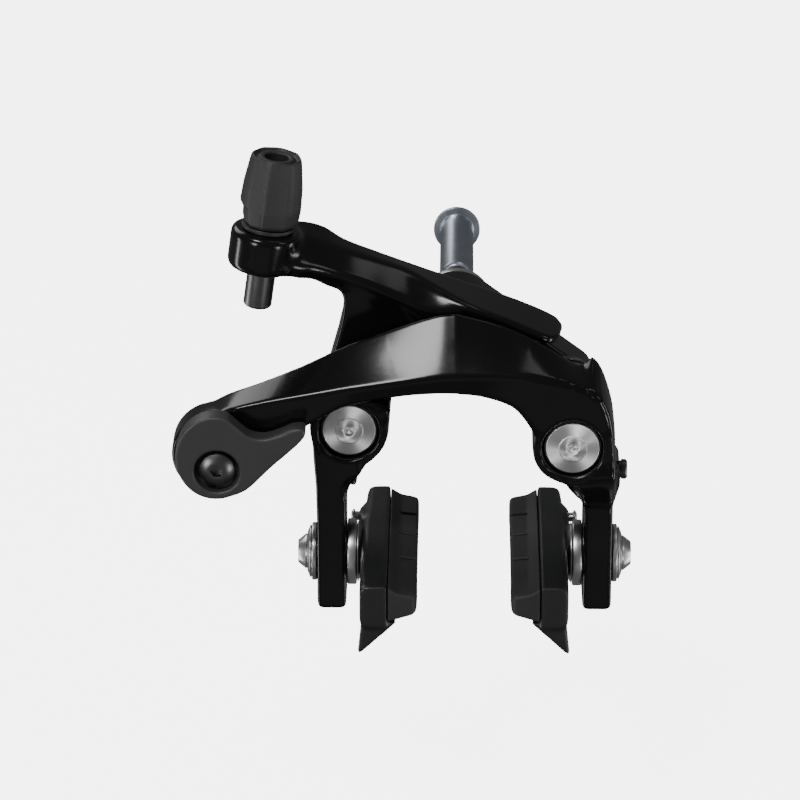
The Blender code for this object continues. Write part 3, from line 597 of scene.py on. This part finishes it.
FRONT_BEAM = {
    "top_rear": [
        (-59, -43.6, -9.4), (-51.7, -43.8, -5.1), (-43.8, -44.5, -1.6), (-34.8, -44.5, 2.4),
        (-25.4, -44.5, 7.2), (-14.7, -44.5, 11.5), (-5, -44.5, 14.8), (0, -44.5, 15.6), (9.7, -44.5, 12.8),
        (18.6, -44.5, 8.5), (27.4, -43.4, 2.7), (30.4, -43, 4.6), (32.7, -42.4, 1.2), (34.8, -42, -5.6),
        (35.7, -42, -12), (36, -42, -18), (36.4, -42, -24), (36.2, -42, -32)],
    "crease": [
        (-59, -52.8, -10), (-51.8, -52.8, -5.8), (-43.4, -52.9, -3.5), (-34.5, -53.2, -1.8),
        (-23.4, -53.7, 0.2), (-12.4, -54, 1.8), (-4.5, -54, 3), (0, -54, 3.4), (8.8, -54, 3.7),
        (18, -54, 3.1), (27.2, -53.6, 1.2), (31.4, -53.2, -1.2), (33.4, -52.8, -4.6), (34.6, -52.6, -8),
        (35.4, -52.3, -13), (35.7, -52.3, -18), (35.9, -52, -23), (36, -43.4, -32)],
    "under_front": [
        (-50, -52.8, -20.5), (-43.5, -52.8, -16.6), (-38, -52.8, -12.4), (-31.5, -53, -8.5),
        (-23.4, -53, -4.2), (-12.4, -53, -2.1), (-4.5, -53, -1.4), (0, -53, -1.4), (6.2, -53, -2.2),
        (12.6, -53, -4.7), (16.6, -52.6, -10), (17.3, -52.4, -13.4), (17.7, -52.3, -15.8),
        (18.3, -52.3, -18), (20.2, -52.3, -21), (22.3, -52.3, -22.4), (24.6, -51.8, -24.2),
        (28.5, -43.4, -32)],
    "under_rear": [
        (-50, -43.6, -20.5), (-43.5, -43.8, -16.6), (-38, -44.5, -12.4), (-31.5, -44.5, -8.5),
        (-23.4, -44.5, -4.2), (-12.4, -44.5, -2.1), (-4.5, -44.5, -1.4), (0, -44.5, -1.4),
        (6.2, -44.5, -2.2), (12.6, -44.5, -4.7), (16.8, -43.6, -10), (17.3, -42.4, -13.4),
        (17.7, -42, -15.8), (18.3, -42, -18), (20.2, -42, -21), (22.3, -42, -22.4), (24.6, -42, -24.2),
        (28.5, -42, -32)],
}
APEX = 7                       # knot of the front arm's rails where its top face breaks

LEFT_LEG = [
    (-32.8, -15.2), (-32.2, -20.5), (-31.6, -28.7), (-31.45, -36.7), (-31.45, -58.4), (-30.9, -59.2),
    (-25.4, -59.2), (-24.8, -58.6), (-24.8, -36.6), (-24.7, -31.8), (-23.8, -28.7), (-19.5, -22.7),
    (-15.6, -16.9), (-14.8, -13), (-14.7, -9.3), (-17.5, -7.8), (-24, -6.6), (-31.3, -10.2)]
LEFT_WEB = [
    (-32.4, -14), (-30.5, -7), (-28.4, -1.2), (-26.6, 5.4), (-25.6, 9.8), (-25.2, 13.6), (-25.6, 17.2),
    (-22, 17.6), (-14, 14), (-6.5, 11), (-5.2, 8), (-8.2, 4.6), (-11.8, -0.8), (-14.2, -6.5),
    (-14.8, -13), (-24, -17)]
RIGHT_LEG = [
    (19.3, -9.6), (22.6, -7.6), (26, -6.6), (29.4, -7.2), (32.2, -9.4), (34.2, -13.4), (35.3, -18.6),
    (36, -23), (37.3, -24.8), (37.3, -28.2), (36.3, -31.2), (35.75, -33.7), (35.75, -58.5),
    (35.2, -59.2), (29.7, -59.2), (29.1, -58.6), (29.1, -34.6), (28.3, -31.4), (23.6, -25.9),
    (19.4, -20.7), (17.6, -14.7)]


def leg_slot(leg_x):
    top, bottom = SLOT_Z
    ends = arc((SHOE_Y, top - SLOT_HALF_WIDTH), SLOT_HALF_WIDTH, 0, 180, 24)
    ends += arc((SHOE_Y, bottom + SLOT_HALF_WIDTH), SLOT_HALF_WIDTH, 180, 360, 24)
    return plate("slot", ends, min(leg_x) - 3, max(leg_x) + 3, across=True)


def boss_back(pivot):
    profile = [(0, BOSS_BACK), (HUB_R, BOSS_BACK), (HUB_R, HUB_FRONT), (BOSS_R, HUB_FRONT),
               (BOSS_R, REAR_BOSS_FRONT + 0.4), (0, REAR_BOSS_FRONT + 0.4)]
    return turned("boss", profile, along_y(pivot), Y_AXIS)


def bored_boss(made, pivot, boss_front, head_face):
    foot = along_y(pivot)
    bore = rod("bore", BUSH_R + 0.05, boss_front - 5, BOSS_BACK + 5, foot, Y_AXIS)
    recess = rod("recess", COUNTERBORE_R, boss_front - 5, head_face + HEAD_DEPTH + GAP, foot, Y_AXIS)
    return cut(made, bore, recess)


def rear_arm():
    front = REAR_BOSS_FRONT
    made = plate("rear_arm", LEFT_LEG, PLATE_BACK, front)
    web = plate("web", LEFT_WEB, PLATE_BACK + 0.4, -36.6)
    beam = loft("beam", list(REAR_BEAM.values()), [1.0, 1.6, 1.6, 1.2, 1.2])
    low, high = ADJUSTER_BOSS
    profile = [(0, high), (7.2, high), (8.0, high - 0.7), (8.0, low + 0.9), (7.2, low), (0, low)]
    boss = turned("cable_boss", profile, ADJUSTER_FOOT, ADJUSTER_AXIS)
    made = join(made, boss_back(LEFT_PIVOT), web, beam, boss)
    made = bored_boss(made, LEFT_PIVOT, front, front + 0.9)
    track = rod("track", 24.55, -42, -24, along_y(PIVOT_MIDDLE), Y_AXIS, 360)
    made = cut(made, combine(track, [box("window", (-4.6, -42, 3), (10.5, -24, 12))], "INTERSECT"))
    hole = rod("hole", BARREL_R + FIT, low - 6, high + 6, ADJUSTER_FOOT, ADJUSTER_AXIS)
    made = forge(cut(made, hole, leg_slot(LEFT_LEG_X)), concave=4.0, fillet_rounds=110)
    return stand_for(made, "rear_arm", "rear_arm", "gloss_black")


def front_arm():
    made = plate("front_arm", RIGHT_LEG, PLATE_BACK, REAR_BOSS_FRONT)
    beam = loft("beam", list(FRONT_BEAM.values()), [0.8, 0.9, 1.2, 1.0], corner=APEX)
    profile = [(0, -43.2), (9.0, -43.2), (9.8, -44.0), (9.8, -52.2), (9.0, -53.0), (0, -53.0)]
    disc = turned("disc", profile, along_y((-53.6, -16.6)), Y_AXIS)
    boss = rod("boss_front", BOSS_R, FRONT_BOSS_FRONT, REAR_BOSS_FRONT + 1, along_y(RIGHT_PIVOT), Y_AXIS)
    made = join(made, boss_back(RIGHT_PIVOT), beam, disc, boss)
    made = bored_boss(made, RIGHT_PIVOT, FRONT_BOSS_FRONT, FRONT_BOSS_FRONT + 0.3)
    shaft_bore = rod("bore", 6.35, -60, -40, along_y(LEVER_PIVOT), Y_AXIS)
    pin_hole = rod("pin_hole", PIN_R + FIT, -48.5, -40, along_y((PIVOT_MIDDLE[0], ROLLER_Z)), Y_AXIS)
    screw_hole = rod("screw_hole", 2.1, 29.0, 40.0, (0, SHOE_Y, CENTERING_SCREW_Z), X_AXIS)
    made = cut(made, shaft_bore, pin_hole, screw_hole, leg_slot(RIGHT_LEG_X))
    made = forge(made, concave=3.0, fillet_rounds=70)
    return stand_for(made, "front_arm", "front_arm", "gloss_black")


def bracket():
    centre_r, end_r = 9.3, 5.4
    centre = arc((0, 0), centre_r, 0, 360, SIDES)[:-1]
    left = arc(LEFT_PIVOT, end_r, 0, 360, SIDES)[:-1]
    right = arc(RIGHT_PIVOT, end_r, 0, 360, SIDES)[:-1]
    made = plate("bracket", hull(centre + left), BRACKET_BACK, BRACKET_FRONT)
    made = join(made, plate("right_half", hull(centre + right), BRACKET_BACK, BRACKET_FRONT))
    feet = [along_y(point) for point in ((0, 0), LEFT_PIVOT, RIGHT_PIVOT)]
    bores = [rod("bore", STUD_R + FIT, -20, 0, foot, Y_AXIS) for foot in feet]
    return stand_for(forge(cut(made, *bores), 0.4), "bracket", "root", "gloss_black")


# ---------------------------------------------------------------- turned pieces and fasteners

def finish_turned(made, node, body, look, foot, axis, width=0.12):
    stand_for(set_axis(soften(made, width), foot, axis), node, body, look)


def fork_fittings():
    centre = (0, 0, 0)
    stud = join(rod("stud", STUD_R, BRACKET_FRONT - 1.0, 24.0, centre, Y_AXIS),
                hexagon("head", 10.0, BRACKET_FRONT - 5.0, BRACKET_FRONT - GAP, centre, Y_AXIS))
    finish_turned(stud, "mounting_stud", "root", "zinc_steel", centre, Y_AXIS)
    bore, flange, end, sleeve = STUD_R + 0.15, 5.6, 46.0, 4.0
    profile = [(bore, end), (flange - 0.3, end), (flange, end - 0.3), (flange, end - 1.4),
               (sleeve, end - 1.4), (sleeve, 13.7), (sleeve - 0.5, 13.0), (bore, 13.0), (bore, end)]
    nut = turned("nut", profile, centre, Y_AXIS)
    finish_turned(nut, "mounting_nut", "root", "sleeve_steel", centre, Y_AXIS)
    seat = ring("washer", 8.0, STUD_R + FIT, -2.2, 0.0, centre, Y_AXIS)
    finish_turned(seat, "seat_washer", "root", "zinc_steel", centre, Y_AXIS)
    serrated = ring("washer", 6.8, STUD_R + FIT, BRACKET_BACK + GAP, -2.5, centre, Y_AXIS)
    finish_turned(serrated, "serrated_washer", "root", "zinc_steel", centre, Y_AXIS)


def pivot(side, at, head_face, arm):
    foot = along_y(at)
    under_head = head_face + HEAD_DEPTH
    profile = [(0, BRACKET_BACK - 0.5), (STUD_R - 0.5, BRACKET_BACK - 0.5), (STUD_R, BRACKET_BACK - 1.0),
               (STUD_R, BRACKET_FRONT - GAP), (SHANK_R, BRACKET_FRONT - GAP), (SHANK_R, under_head),
               (BOLT_HEAD_R, under_head), (BOLT_HEAD_R, head_face + 0.9),
               (BOLT_HEAD_R - 0.5, head_face + 0.4), (3.15, head_face + 0.12), (3.0, head_face),
               (1.5, head_face), (1.25, head_face + 0.1), (0.9, head_face + 0.6), (0, head_face + 0.7)]
    bolt = turned("bolt", profile, foot, Y_AXIS)
    finish_turned(bolt, side + "_pivot_bolt", "root", "machined_aluminium", foot, Y_AXIS, 0.06)
    bush = ring("bush", BUSH_R - 0.05, SHANK_R + FIT, under_head + 2 * GAP, BOSS_BACK, foot, Y_AXIS)
    finish_turned(bush, side + "_pivot_bush", arm, "bronze", foot, Y_AXIS)
    washer = ring("washer", 6.4, SHANK_R + FIT, BOSS_BACK + GAP, BRACKET_FRONT - GAP, foot, Y_AXIS)
    finish_turned(washer, side + "_thrust_washer", "root", "zinc_steel", foot, Y_AXIS)


def spring_holder():
    low = (PIVOT_MIDDLE[0] - 4.5, -23.5, -13.0)
    high = (PIVOT_MIDDLE[0] + 4.5, BRACKET_FRONT - GAP, -6.6)
    made = box("spring_holder", low, high)
    for side in (-1, 1):
        mouth = (PIVOT_MIDDLE[0] + side * 5.0, -18.6, -9.8)
        made = cut(made, rod("hole", 1.1, 0, 3.6, mouth, (-side, 0, 0), 32))
    stand_for(soften(made, 0.6), "spring_holder", "root", "black_nylon")


def return_spring(node, at, inward, hook):
    """Torsion spring round one boss: one end in the central holder, the other behind the arm's leg."""
    coil_r, wire_r = 7.5, 0.85
    back_y, front_y = -18.6, -22.7
    anchor = (abs(PIVOT_MIDDLE[0] - at[0]) - 1.8, -9.8 - at[1])
    start = atan2(anchor[1], anchor[0]) + acos(coil_r / sqrt(anchor[0] ** 2 + anchor[1] ** 2))
    end = atan2(hook[1], hook[0]) + 4 * pi - acos(coil_r / sqrt(hook[0] ** 2 + hook[1] ** 2))
    steps = 120
    coil = []
    for i in range(steps + 1):
        angle = start + (end - start) * i / steps
        coil.append((coil_r * cos(angle), back_y + (front_y - back_y) * i / steps, coil_r * sin(angle)))
    held = (anchor[0], back_y, anchor[1])
    first = [held, tuple((a + b) / 2 for a, b in zip(held, coil[0]))]
    last = coil[-1]
    leg = [(last[0] + (hook[0] - last[0]) * 0.6, front_y, last[2] + (hook[1] - last[2]) * 0.6),
           (hook[0] - 0.6, -26.2, hook[1] + 1.0), (hook[0], -28.5, hook[1]), (hook[0], -32.0, hook[1])]
    route = spline(first + coil[:1], 6)[:-1] + [Vector(p) for p in coil[:-1]] + spline([last] + leg, 8)
    world = [(at[0] + inward * u, y, at[1] + z) for u, y, z in route]
    made = tube(node, world, wire_r)
    made.data.shade_smooth()
    stand_for(made, node, None, "black_steel")
    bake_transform(made)


def link():
    foot = along_y((PIVOT_MIDDLE[0], ROLLER_Z))
    profile = [(0, -28.6), (2.3, -28.6), (2.3, -29.5), (PIN_R, -29.5), (PIN_R, -48.2), (0, -48.2)]
    pin = turned("pin", profile, foot, Y_AXIS)
    finish_turned(pin, "roller_pin", "front_arm", "zinc_steel", foot, Y_AXIS)
    roller = ring("roller", 3.0, PIN_R + FIT, -40.5, -29.8, foot, Y_AXIS)
    finish_turned(roller, "link_roller", "link_roller", "bronze", foot, Y_AXIS)
    foot = (0, SHOE_Y, CENTERING_SCREW_Z)
    profile = [(0, 39.0), (1.9, 39.0), (2.3, 38.6), (2.3, 37.6), (2.0, 37.6), (2.0, 29.5), (0, 29.5)]
    screw = turned("screw", profile, foot, X_AXIS)
    screw = cut(screw, hexagon("socket", 2.0, 37.4, 40.0, foot, X_AXIS))
    finish_turned(screw, "centering_screw", "centering_screw", "black_steel", foot, X_AXIS)


# ---------------------------------------------------------------- adjuster

def knob_reach(level, angle):
    """Radius of the knob: an eight-sided grip with ribbed corners, cut back low on one side."""
    height, radius = level
    facet = 2 * pi / KNOB_FACETS
    off = (angle - radians(-77)) / facet
    off = (off - round(off)) * facet
    corner = (facet / 2 - abs(off)) / facet
    flat = radius * cos(facet / 2) / cos(off) * 1.012
    groove = 0.16 * np.exp(-((corner - 0.09) / 0.035) ** 2)
    from_cut = abs(((angle - radians(193) + pi) % (2 * pi)) - pi)
    step = 0.75 if height < KNOB_SPAN[0] + 4.2 and from_cut < 0.6 else 0.0
    return 0.75 * flat + 0.25 * radius * 0.985 - groove - step


def adjuster():
    foot, axis = ADJUSTER_FOOT, ADJUSTER_AXIS
    top, seat = 29.4, 22.0
    profile = [(2.6, top), (BARREL_R, top), (BARREL_R, 0.5), (2.8, 0.0), (1.2, 0.0), (1.2, seat), (2.6, seat),
               (2.6, top)]
    finish_turned(turned("barrel", profile, foot, axis), "adjuster_barrel", "adjuster_barrel", "black_steel",
                  foot, axis)
    low, high = KNOB_SPAN
    washer = ring("ring", 5.9, BARREL_R + FIT, ADJUSTER_BOSS[1] + 0.15, low - 0.2, foot, axis)
    finish_turned(washer, "adjuster_ring", "rear_arm", "black_nylon", foot, axis)
    around = 288
    outside = [(high - 0.35, 5.15), (high, 5.5), (high - 0.4, 5.75), (high - 2, 6.05), (high - 7, 6.75),
               (low + 4.3, 7.0), (low + 4.1, 7.0), (low + 1.0, 6.75), (low + 0.3, 6.4), (low, 5.9)]
    inside = [(low, 3.3), (33.0, 3.3), (33.0, 2.7), (high - 0.5, 2.7), (high - 0.3, 3.0), (high - 0.3, 3.9),
              (high - 0.9, 4.1), (high - 0.9, 4.7), (high - 0.5, 4.9)]
    points, faces = [], []
    for level in outside:
        for i in range(around):
            angle = 2 * pi * i / around
            reach = knob_reach(level, angle)
            points.append((reach * cos(angle), reach * sin(angle), level[0]))
    for height, reach in inside:
        for i in range(around):
            angle = 2 * pi * i / around
            points.append((reach * cos(angle), reach * sin(angle), height))
    rows = len(outside) + len(inside)
    for row in range(rows):
        for i in range(around):
            j, below = (i + 1) % around, (row + 1) % rows
            faces.append((row * around + i, row * around + j, below * around + j, below * around + i))
    made = new_piece("knob", mesh_from(points, faces))
    made.data.transform(frame_of(foot, axis))
    made = forge(made, voxel=0.15, convex=0.35, concave=0.35, rounds=4, fillet_rounds=2)
    stand_for(set_axis(made, foot, axis), "adjuster_knob", "adjuster_knob", "knob_rubber")


# ---------------------------------------------------------------- quick release and cable clamp

LEVER_TAIL = [
    (-48.2, -23.3), (-45.7, -21.7), (-40.8, -16.7), (-36.6, -12.8), (-33.9, -10.0), (-33.2, -8.4),
    (-33.9, -7.4), (-36.2, -7.6), (-38.8, -8.8), (-41.3, -9.7), (-43.6, -9.9), (-45.9, -9.2), (-48.2, -7.3)]


def bevel_wedge():
    """Cutter for the slanted lower side of the lever, hinged on the ridge that runs out to its tip."""
    start, end = Vector((-48.3, 0, -18.6)), Vector((-35.4, 0, -8.7))
    along = (end - start).normalized()
    down = Vector((along.z, 0, -along.x))
    near, far = start - along * 12, end + along * 12
    corners = [near, far, far + down * 14, near + down * 14]
    made = plate("wedge", [(c.x, c.z) for c in corners], LEVER_FRONT, LEVER_FRONT - 6)
    hinge = Vector((start.x, LEVER_FRONT, start.z)) * MM
    lean = Matrix.Rotation(radians(-30), 4, along)
    made.data.transform(Matrix.Translation(hinge) @ lean @ Matrix.Translation(-hinge))
    return made


def release_lever():
    """Teardrop lever: part of an ellipse round the shaft, and a tail, with a recess for the clamp bolt."""
    hub, half_width, half_height = (-53.3, -14.6), 8.9, 10.0
    angles = [radians(a) for a in range(72, 292, 4)]
    outline = [(hub[0] + half_width * cos(a), hub[1] + half_height * sin(a)) for a in angles]
    outline += [(p.x, p.z) for p in spline([(x, 0, z) for x, z in LEVER_TAIL], 8)]
    made = plate("release_lever", outline, LEVER_BACK, LEVER_FRONT)
    made = cut(made, bevel_wedge())
    recess = rod("recess", 5.0, LEVER_FRONT - 2, LEVER_FRONT + 2.9, along_y(CLAMP_BOLT), Y_AXIS)
    hole = rod("hole", CLAMP_SHANK_R + FIT, LEVER_FRONT - 2, LEVER_BACK + 2, along_y(CLAMP_BOLT), Y_AXIS)
    made = forge(cut(made, recess, hole), voxel=0.2, concave=0.5)
    stand_for(made, "release_lever", "release_lever", "matte_grey")


def clamp():
    foot = along_y(LEVER_PIVOT)
    hole = rod("bore", CLAMP_SHANK_R + FIT, -60, -30, along_y(CLAMP_BOLT), Y_AXIS)
    profile = [(0, -40.2), (6.0, -40.2), (6.6, -40.8), (6.6, -42.9), (6.2, -42.9), (6.2, -53.6), (0, -53.6)]
    shaft = turned("shaft", profile, foot, Y_AXIS)
    finish_turned(cut(shaft, hole), "release_shaft", "release_lever", "black_steel", foot, Y_AXIS)
    washer = ring("washer", 8.2, 6.4, LEVER_BACK + 0.2, -53.2, foot, Y_AXIS)
    finish_turned(washer, "lever_washer", "front_arm", "zinc_steel", foot, Y_AXIS, 0.08)
    foot = along_y(CLAMP_BOLT)
    head_y = LEVER_FRONT + 0.3
    profile = [(0, -30.0), (2.1, -30.0), (CLAMP_SHANK_R, -30.4), (CLAMP_SHANK_R, head_y + 2.3),
               (3.9, head_y + 2.3), (3.9, head_y + 0.9), (2.2, head_y), (0, head_y)]
    bolt = turned("bolt", profile, foot, Y_AXIS)
    bolt = cut(bolt, hexagon("socket", 2.5, head_y - 2, head_y + 1.6, foot, Y_AXIS))
    finish_turned(bolt, "cable_clamp_bolt", "release_lever", "black_steel", foot, Y_AXIS, 0.1)
    x, z = CLAMP_BOLT
    hole = rod("hole", CLAMP_SHANK_R + FIT, -40, -30, foot, Y_AXIS)
    made = cut(box("plate", (x - 5.2, -36.7, z - 5.0), (x + 6.4, -34.9, z + 5.0)), hole)
    finish_turned(made, "cable_clamp_plate", "release_lever", "zinc_steel", foot, Y_AXIS, 0.3)
    hole = rod("hole", CLAMP_SHANK_R + FIT, -40, -29, foot, Y_AXIS)
    made = cut(hexagon("nut", 8.0, -34.6, -31.0, foot, Y_AXIS), hole)
    finish_turned(made, "cable_clamp_nut", "release_lever", "zinc_steel", foot, Y_AXIS, 0.25)


# ---------------------------------------------------------------- brake shoes

def rim_drop(y):
    """The shoe follows the rim, so its ends lie lower than its middle."""
    return (y - SHOE_Y) ** 2 / (2 * RIM_CURVE_R)


def shoe_bar(name, stations, section, radii):
    """Loft a bar along Y; section(y) gives its corners as (distance from the friction face, height)."""
    rails = []
    for corner in range(len(section(stations[0]))):
        rail = []
        for y in stations:
            depth, height = section(y)[corner]
            rail.append((depth, y, SHOE_Z + height - rim_drop(y)))
        rails.append(rail)
    return loft(name, rails, radii, samples=10)


def shoe(side, face_x, outward, leg_x):
    outer, inner = leg_x
    mirror = Matrix.Translation((face_x * MM, 0, 0)) @ Matrix.Diagonal((outward, 1, 1, 1))
    holder_body, bolt_body = side + "_shoe", side + "_shoe_bolt"
    front = SHOE_Y - SHOE_LENGTH / 2
    back = SHOE_Y + SHOE_LENGTH / 2

    def moved(made):
        made.data.transform(mirror)
        if outward < 0:
            made.data.flip_normals()
        return made

    def holder_section(y):
        t = (y - front) / SHOE_LENGTH
        outside = HOLDER_DEPTH - 0.9 * max(0.0, t - 0.62) / 0.38
        return [(6.63, 5.4), (outside, 5.2), (outside, -4.9), (6.63, -4.9)]

    stations = [front, front + 1.2, front + 14, front + 27, front + 34, back - 12, back - 1.5, back]
    holder = shoe_bar("holder", stations, holder_section, [0.3, 1.8, 1.8, 0.3])
    swell_points = [(12.0, back - 24.5, SHOE_Z + 4.0), (13.7, back - 18, SHOE_Z + 4.8),
                    (13.7, back - 12.5, SHOE_Z + 4.4), (12.0, back - 6, SHOE_Z + 3.4)]
    swell = loft("swell", [[(d - 2, y, z) for d, y, z in swell_points], swell_points,
                           [(d, y, z - 7.6) for d, y, z in swell_points],
                           [(d - 2, y, z - 7.6) for d, y, z in swell_points]], [0.3, 1.4, 1.4, 0.3])
    fin_rails = [[(4.0, front + 0.8, -52.6), (4.2, front + 7, -52.8), (5.4, front + 13, -52.9)],
                 [(12.4, front + 0.8, -52.0), (12.4, front + 7, -52.3), (12.2, front + 13, -52.6)],
                 [(13.4, front + 0.8, -61.2), (12.9, front + 7, -58.6), (12.4, front + 13, -54.0)],
                 [(12.4, front + 0.8, -60.8), (11.8, front + 7, -58.0), (11.6, front + 13, -53.8)]]
    fin = loft("fin", fin_rails, [0.2, 0.4, 0.5, 0.3])
    holder = join(holder, swell, fin)
    holder = cut(holder, box("under_pad", (-1, front - 1, -52.9), (6.6, back + 1, SHOE_Z + 8)))
    tap = rod("tap", PAD_BOLT_R + FIT, 9.0, 20.0, (0, SHOE_Y, SHOE_Z), X_AXIS)
    screw_y, screw_z = back - 15.2, SHOE_Z + 3.2
    screw_tap = rod("screw_tap", 1.25, 10.0, 20.0, (0, screw_y, screw_z), X_AXIS)
    holder = forge(cut(holder, tap, screw_tap), voxel=0.25, convex=0.8, concave=1.6)
    stand_for(moved(holder), side + "_pad_holder", holder_body, "holder_black")

    def pad_section(y):
        end = min(y - front, back - 1.0 - y)
        lean = 0.0 if end > 3 else (3 - end) * 0.45
        return [(lean * 0.6, 3.2 - lean * 0.3), (4.2, 3.6), (PAD_BACK, 5.1), (PAD_BACK, -3.3),
                (lean * 0.6, -1.5)]

    pad_stations = [front, front + 3, front + 16, front + 29, front + 42, back - 4, back - 1.0]
    pad = shoe_bar("pad", pad_stations, pad_section, [0.5, 0.6, 0.3, 0.3, 0.5])
    grooves = [box("groove", (-1, back - s - 0.45, SHOE_Z - 9), (4.2, back - s + 0.45, SHOE_Z + 9))
               for s in (13.6, 25.2, 37.8)]
    pad = forge(cut(pad, *grooves), voxel=0.22, convex=0.4, concave=0.3, rounds=6)
    stand_for(moved(pad), side + "_brake_pad", holder_body, "pad_rubber")

    axis, foot = X_AXIS, (0, SHOE_Y, SHOE_Z)
    world_foot = (face_x, SHOE_Y, SHOE_Z)
    near, far = abs(inner - face_x), abs(outer - face_x)
    end = far + 4.5
    profile = [(0, end), (2.6, end), (3.9, end - 1.6), (4.1, end - 2.0), (PAD_BOLT_R, end - 2.0),
               (PAD_BOLT_R, 9.6), (0, 9.6)]
    bolt = cut(turned("bolt", profile, foot, axis), hexagon("socket", 3.0, end - 1.9, end + 1, foot, axis))
    bore = PAD_BOLT_R + FIT
    outer_washer = ring("washer", 6.65, bore, far + 0.15, far + 1.3, foot, axis)
    profile = [(bore, end - 2.15), (4.6, end - 2.15), (6.05, far + 1.75), (6.05, far + 1.45),
               (bore, far + 1.45), (bore, end - 2.15)]
    cup = turned("washer", profile, foot, axis)
    inner_washer = ring("washer", 7.6, bore, near - 2.3, near - 0.2, foot, axis)
    profile = [(bore, near - 2.45), (6.9, near - 2.45), (6.9, near - 2.7), (5.6, 13.05), (bore, 13.05),
               (bore, near - 2.45)]
    cone = turned("washer", profile, foot, axis)
    for made, node, width in ((bolt, "_pad_bolt", 0.15), (outer_washer, "_outer_washer", 0.25),
                              (cup, "_outer_cup_washer", 0.12), (inner_washer, "_inner_washer", 0.3),
                              (cone, "_inner_cone_washer", 0.1)):
        finish_turned(moved(made), side + node, bolt_body, "zinc_steel", world_foot, axis, width)
    profile = [(0, 15.6), (0.9, 15.6), (1.6, 15.2), (1.6, 14.7), (1.1, 14.7), (1.1, 10.3), (0, 10.3)]
    screw = turned("screw", profile, (0, screw_y, screw_z), axis)
    world_foot = (face_x, screw_y, screw_z)
    finish_turned(moved(screw), side + "_pad_screw", holder_body, "zinc_steel", world_foot, axis)


# ---------------------------------------------------------------- stage, light and camera

TARGET = Vector((-0.01, -0.04, -0.01))


def soft_box(name, toward, distance, width, height, radiance):
    """An area light facing the object from a direction, given the brightness of its face."""
    light = bpy.data.lights.new(name, "AREA")
    light.shape = "RECTANGLE"
    light.size = width
    light.size_y = height
    light.energy = radiance * pi * width * height
    made = bpy.data.objects.new(name, light)
    made.location = TARGET + Vector(toward).normalized() * distance
    made.rotation_euler = (TARGET - made.location).to_track_quat("-Z", "Y").to_euler()
    bpy.context.scene.collection.objects.link(made)


def stage():
    floor_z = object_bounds()[0][2] - 0.06
    reach = 6.0
    corners = [(x * reach, y * reach, floor_z) for x, y in ((-1, -1), (1, -1), (1, 1), (-1, 1))]
    mesh = bpy.data.meshes.new("floor")
    mesh.from_pydata(corners, [], [(0, 1, 2, 3)])
    floor = bpy.data.objects.new("floor", mesh)
    bpy.context.scene.collection.objects.link(floor)
    made = shader_material("pale_floor", Base_Color=(0.9, 0.9, 0.9, 1), Roughness=0.9,
                           Emission_Color=(1, 1, 1, 1), Emission_Strength=5.0)[0]
    floor.data.materials.append(made)
    floor.visible_glossy = False
    floor.visible_diffuse = False
    floor.visible_shadow = False
    floor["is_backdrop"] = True
    world = bpy.data.worlds.new("studio")
    world.use_nodes = True
    background = world.node_tree.nodes["Background"]
    background.inputs["Color"].default_value = (1, 1, 1, 1)
    background.inputs["Strength"].default_value = 0.12
    bpy.context.scene.world = world
    soft_box("front_top", (-0.30, -0.52, 0.80), 1.2, 0.34, 0.30, 26)
    soft_box("back_left", (-0.50, 0.62, 0.60), 1.3, 0.9, 0.55, 3.2)
    soft_box("low_front", (-0.1, -0.88, -0.45), 1.3, 0.9, 0.6, 0.16)
    soft_box("face_left", (-0.58, -0.80, 0.05), 1.2, 0.3, 0.35, 13)
    soft_box("face_right", (0.62, -0.76, -0.25), 1.2, 0.2, 0.3, 13)
    soft_box("left_edge", (-0.93, 0.05, -0.36), 1.2, 0.18, 0.9, 9)
    soft_box("right_edge", (0.93, 0.0, -0.34), 1.2, 0.18, 0.9, 9)
    soft_box("right_top", (0.75, -0.35, 0.55), 1.2, 0.25, 0.4, 3)
    soft_box("overhead", (0.3, 0.1, 0.95), 1.2, 0.35, 0.35, 1.5)


def camera():
    lens = bpy.data.cameras.new("camera")
    lens.sensor_width = 36.0
    lens.lens = 193.5
    lens.clip_start = 0.05
    made = bpy.data.objects.new("camera", lens)
    eye = Vector((0.0, -0.9264, 0.3772))
    aim = Vector((-0.013, -0.0094, -0.0215))
    made.location = eye
    made.rotation_euler = (aim - eye).to_track_quat("-Z", "Y").to_euler()
    bpy.context.scene.collection.objects.link(made)
    bpy.context.scene.camera = made


rear_arm()
front_arm()
bracket()
fork_fittings()
pivot("left", LEFT_PIVOT, REAR_BOSS_FRONT + 0.9, "rear_arm")
pivot("right", RIGHT_PIVOT, FRONT_BOSS_FRONT + 0.3, "front_arm")
spring_holder()
return_spring("left_return_spring", LEFT_PIVOT, 1, (0.6, -17.0))
return_spring("right_return_spring", RIGHT_PIVOT, -1, (-1.5, -18.6))
link()
adjuster()
release_lever()
clamp()
shoe("left", -8.5, -1, LEFT_LEG_X)
shoe("right", 12.6, 1, RIGHT_LEG_X)
camera()
stage()
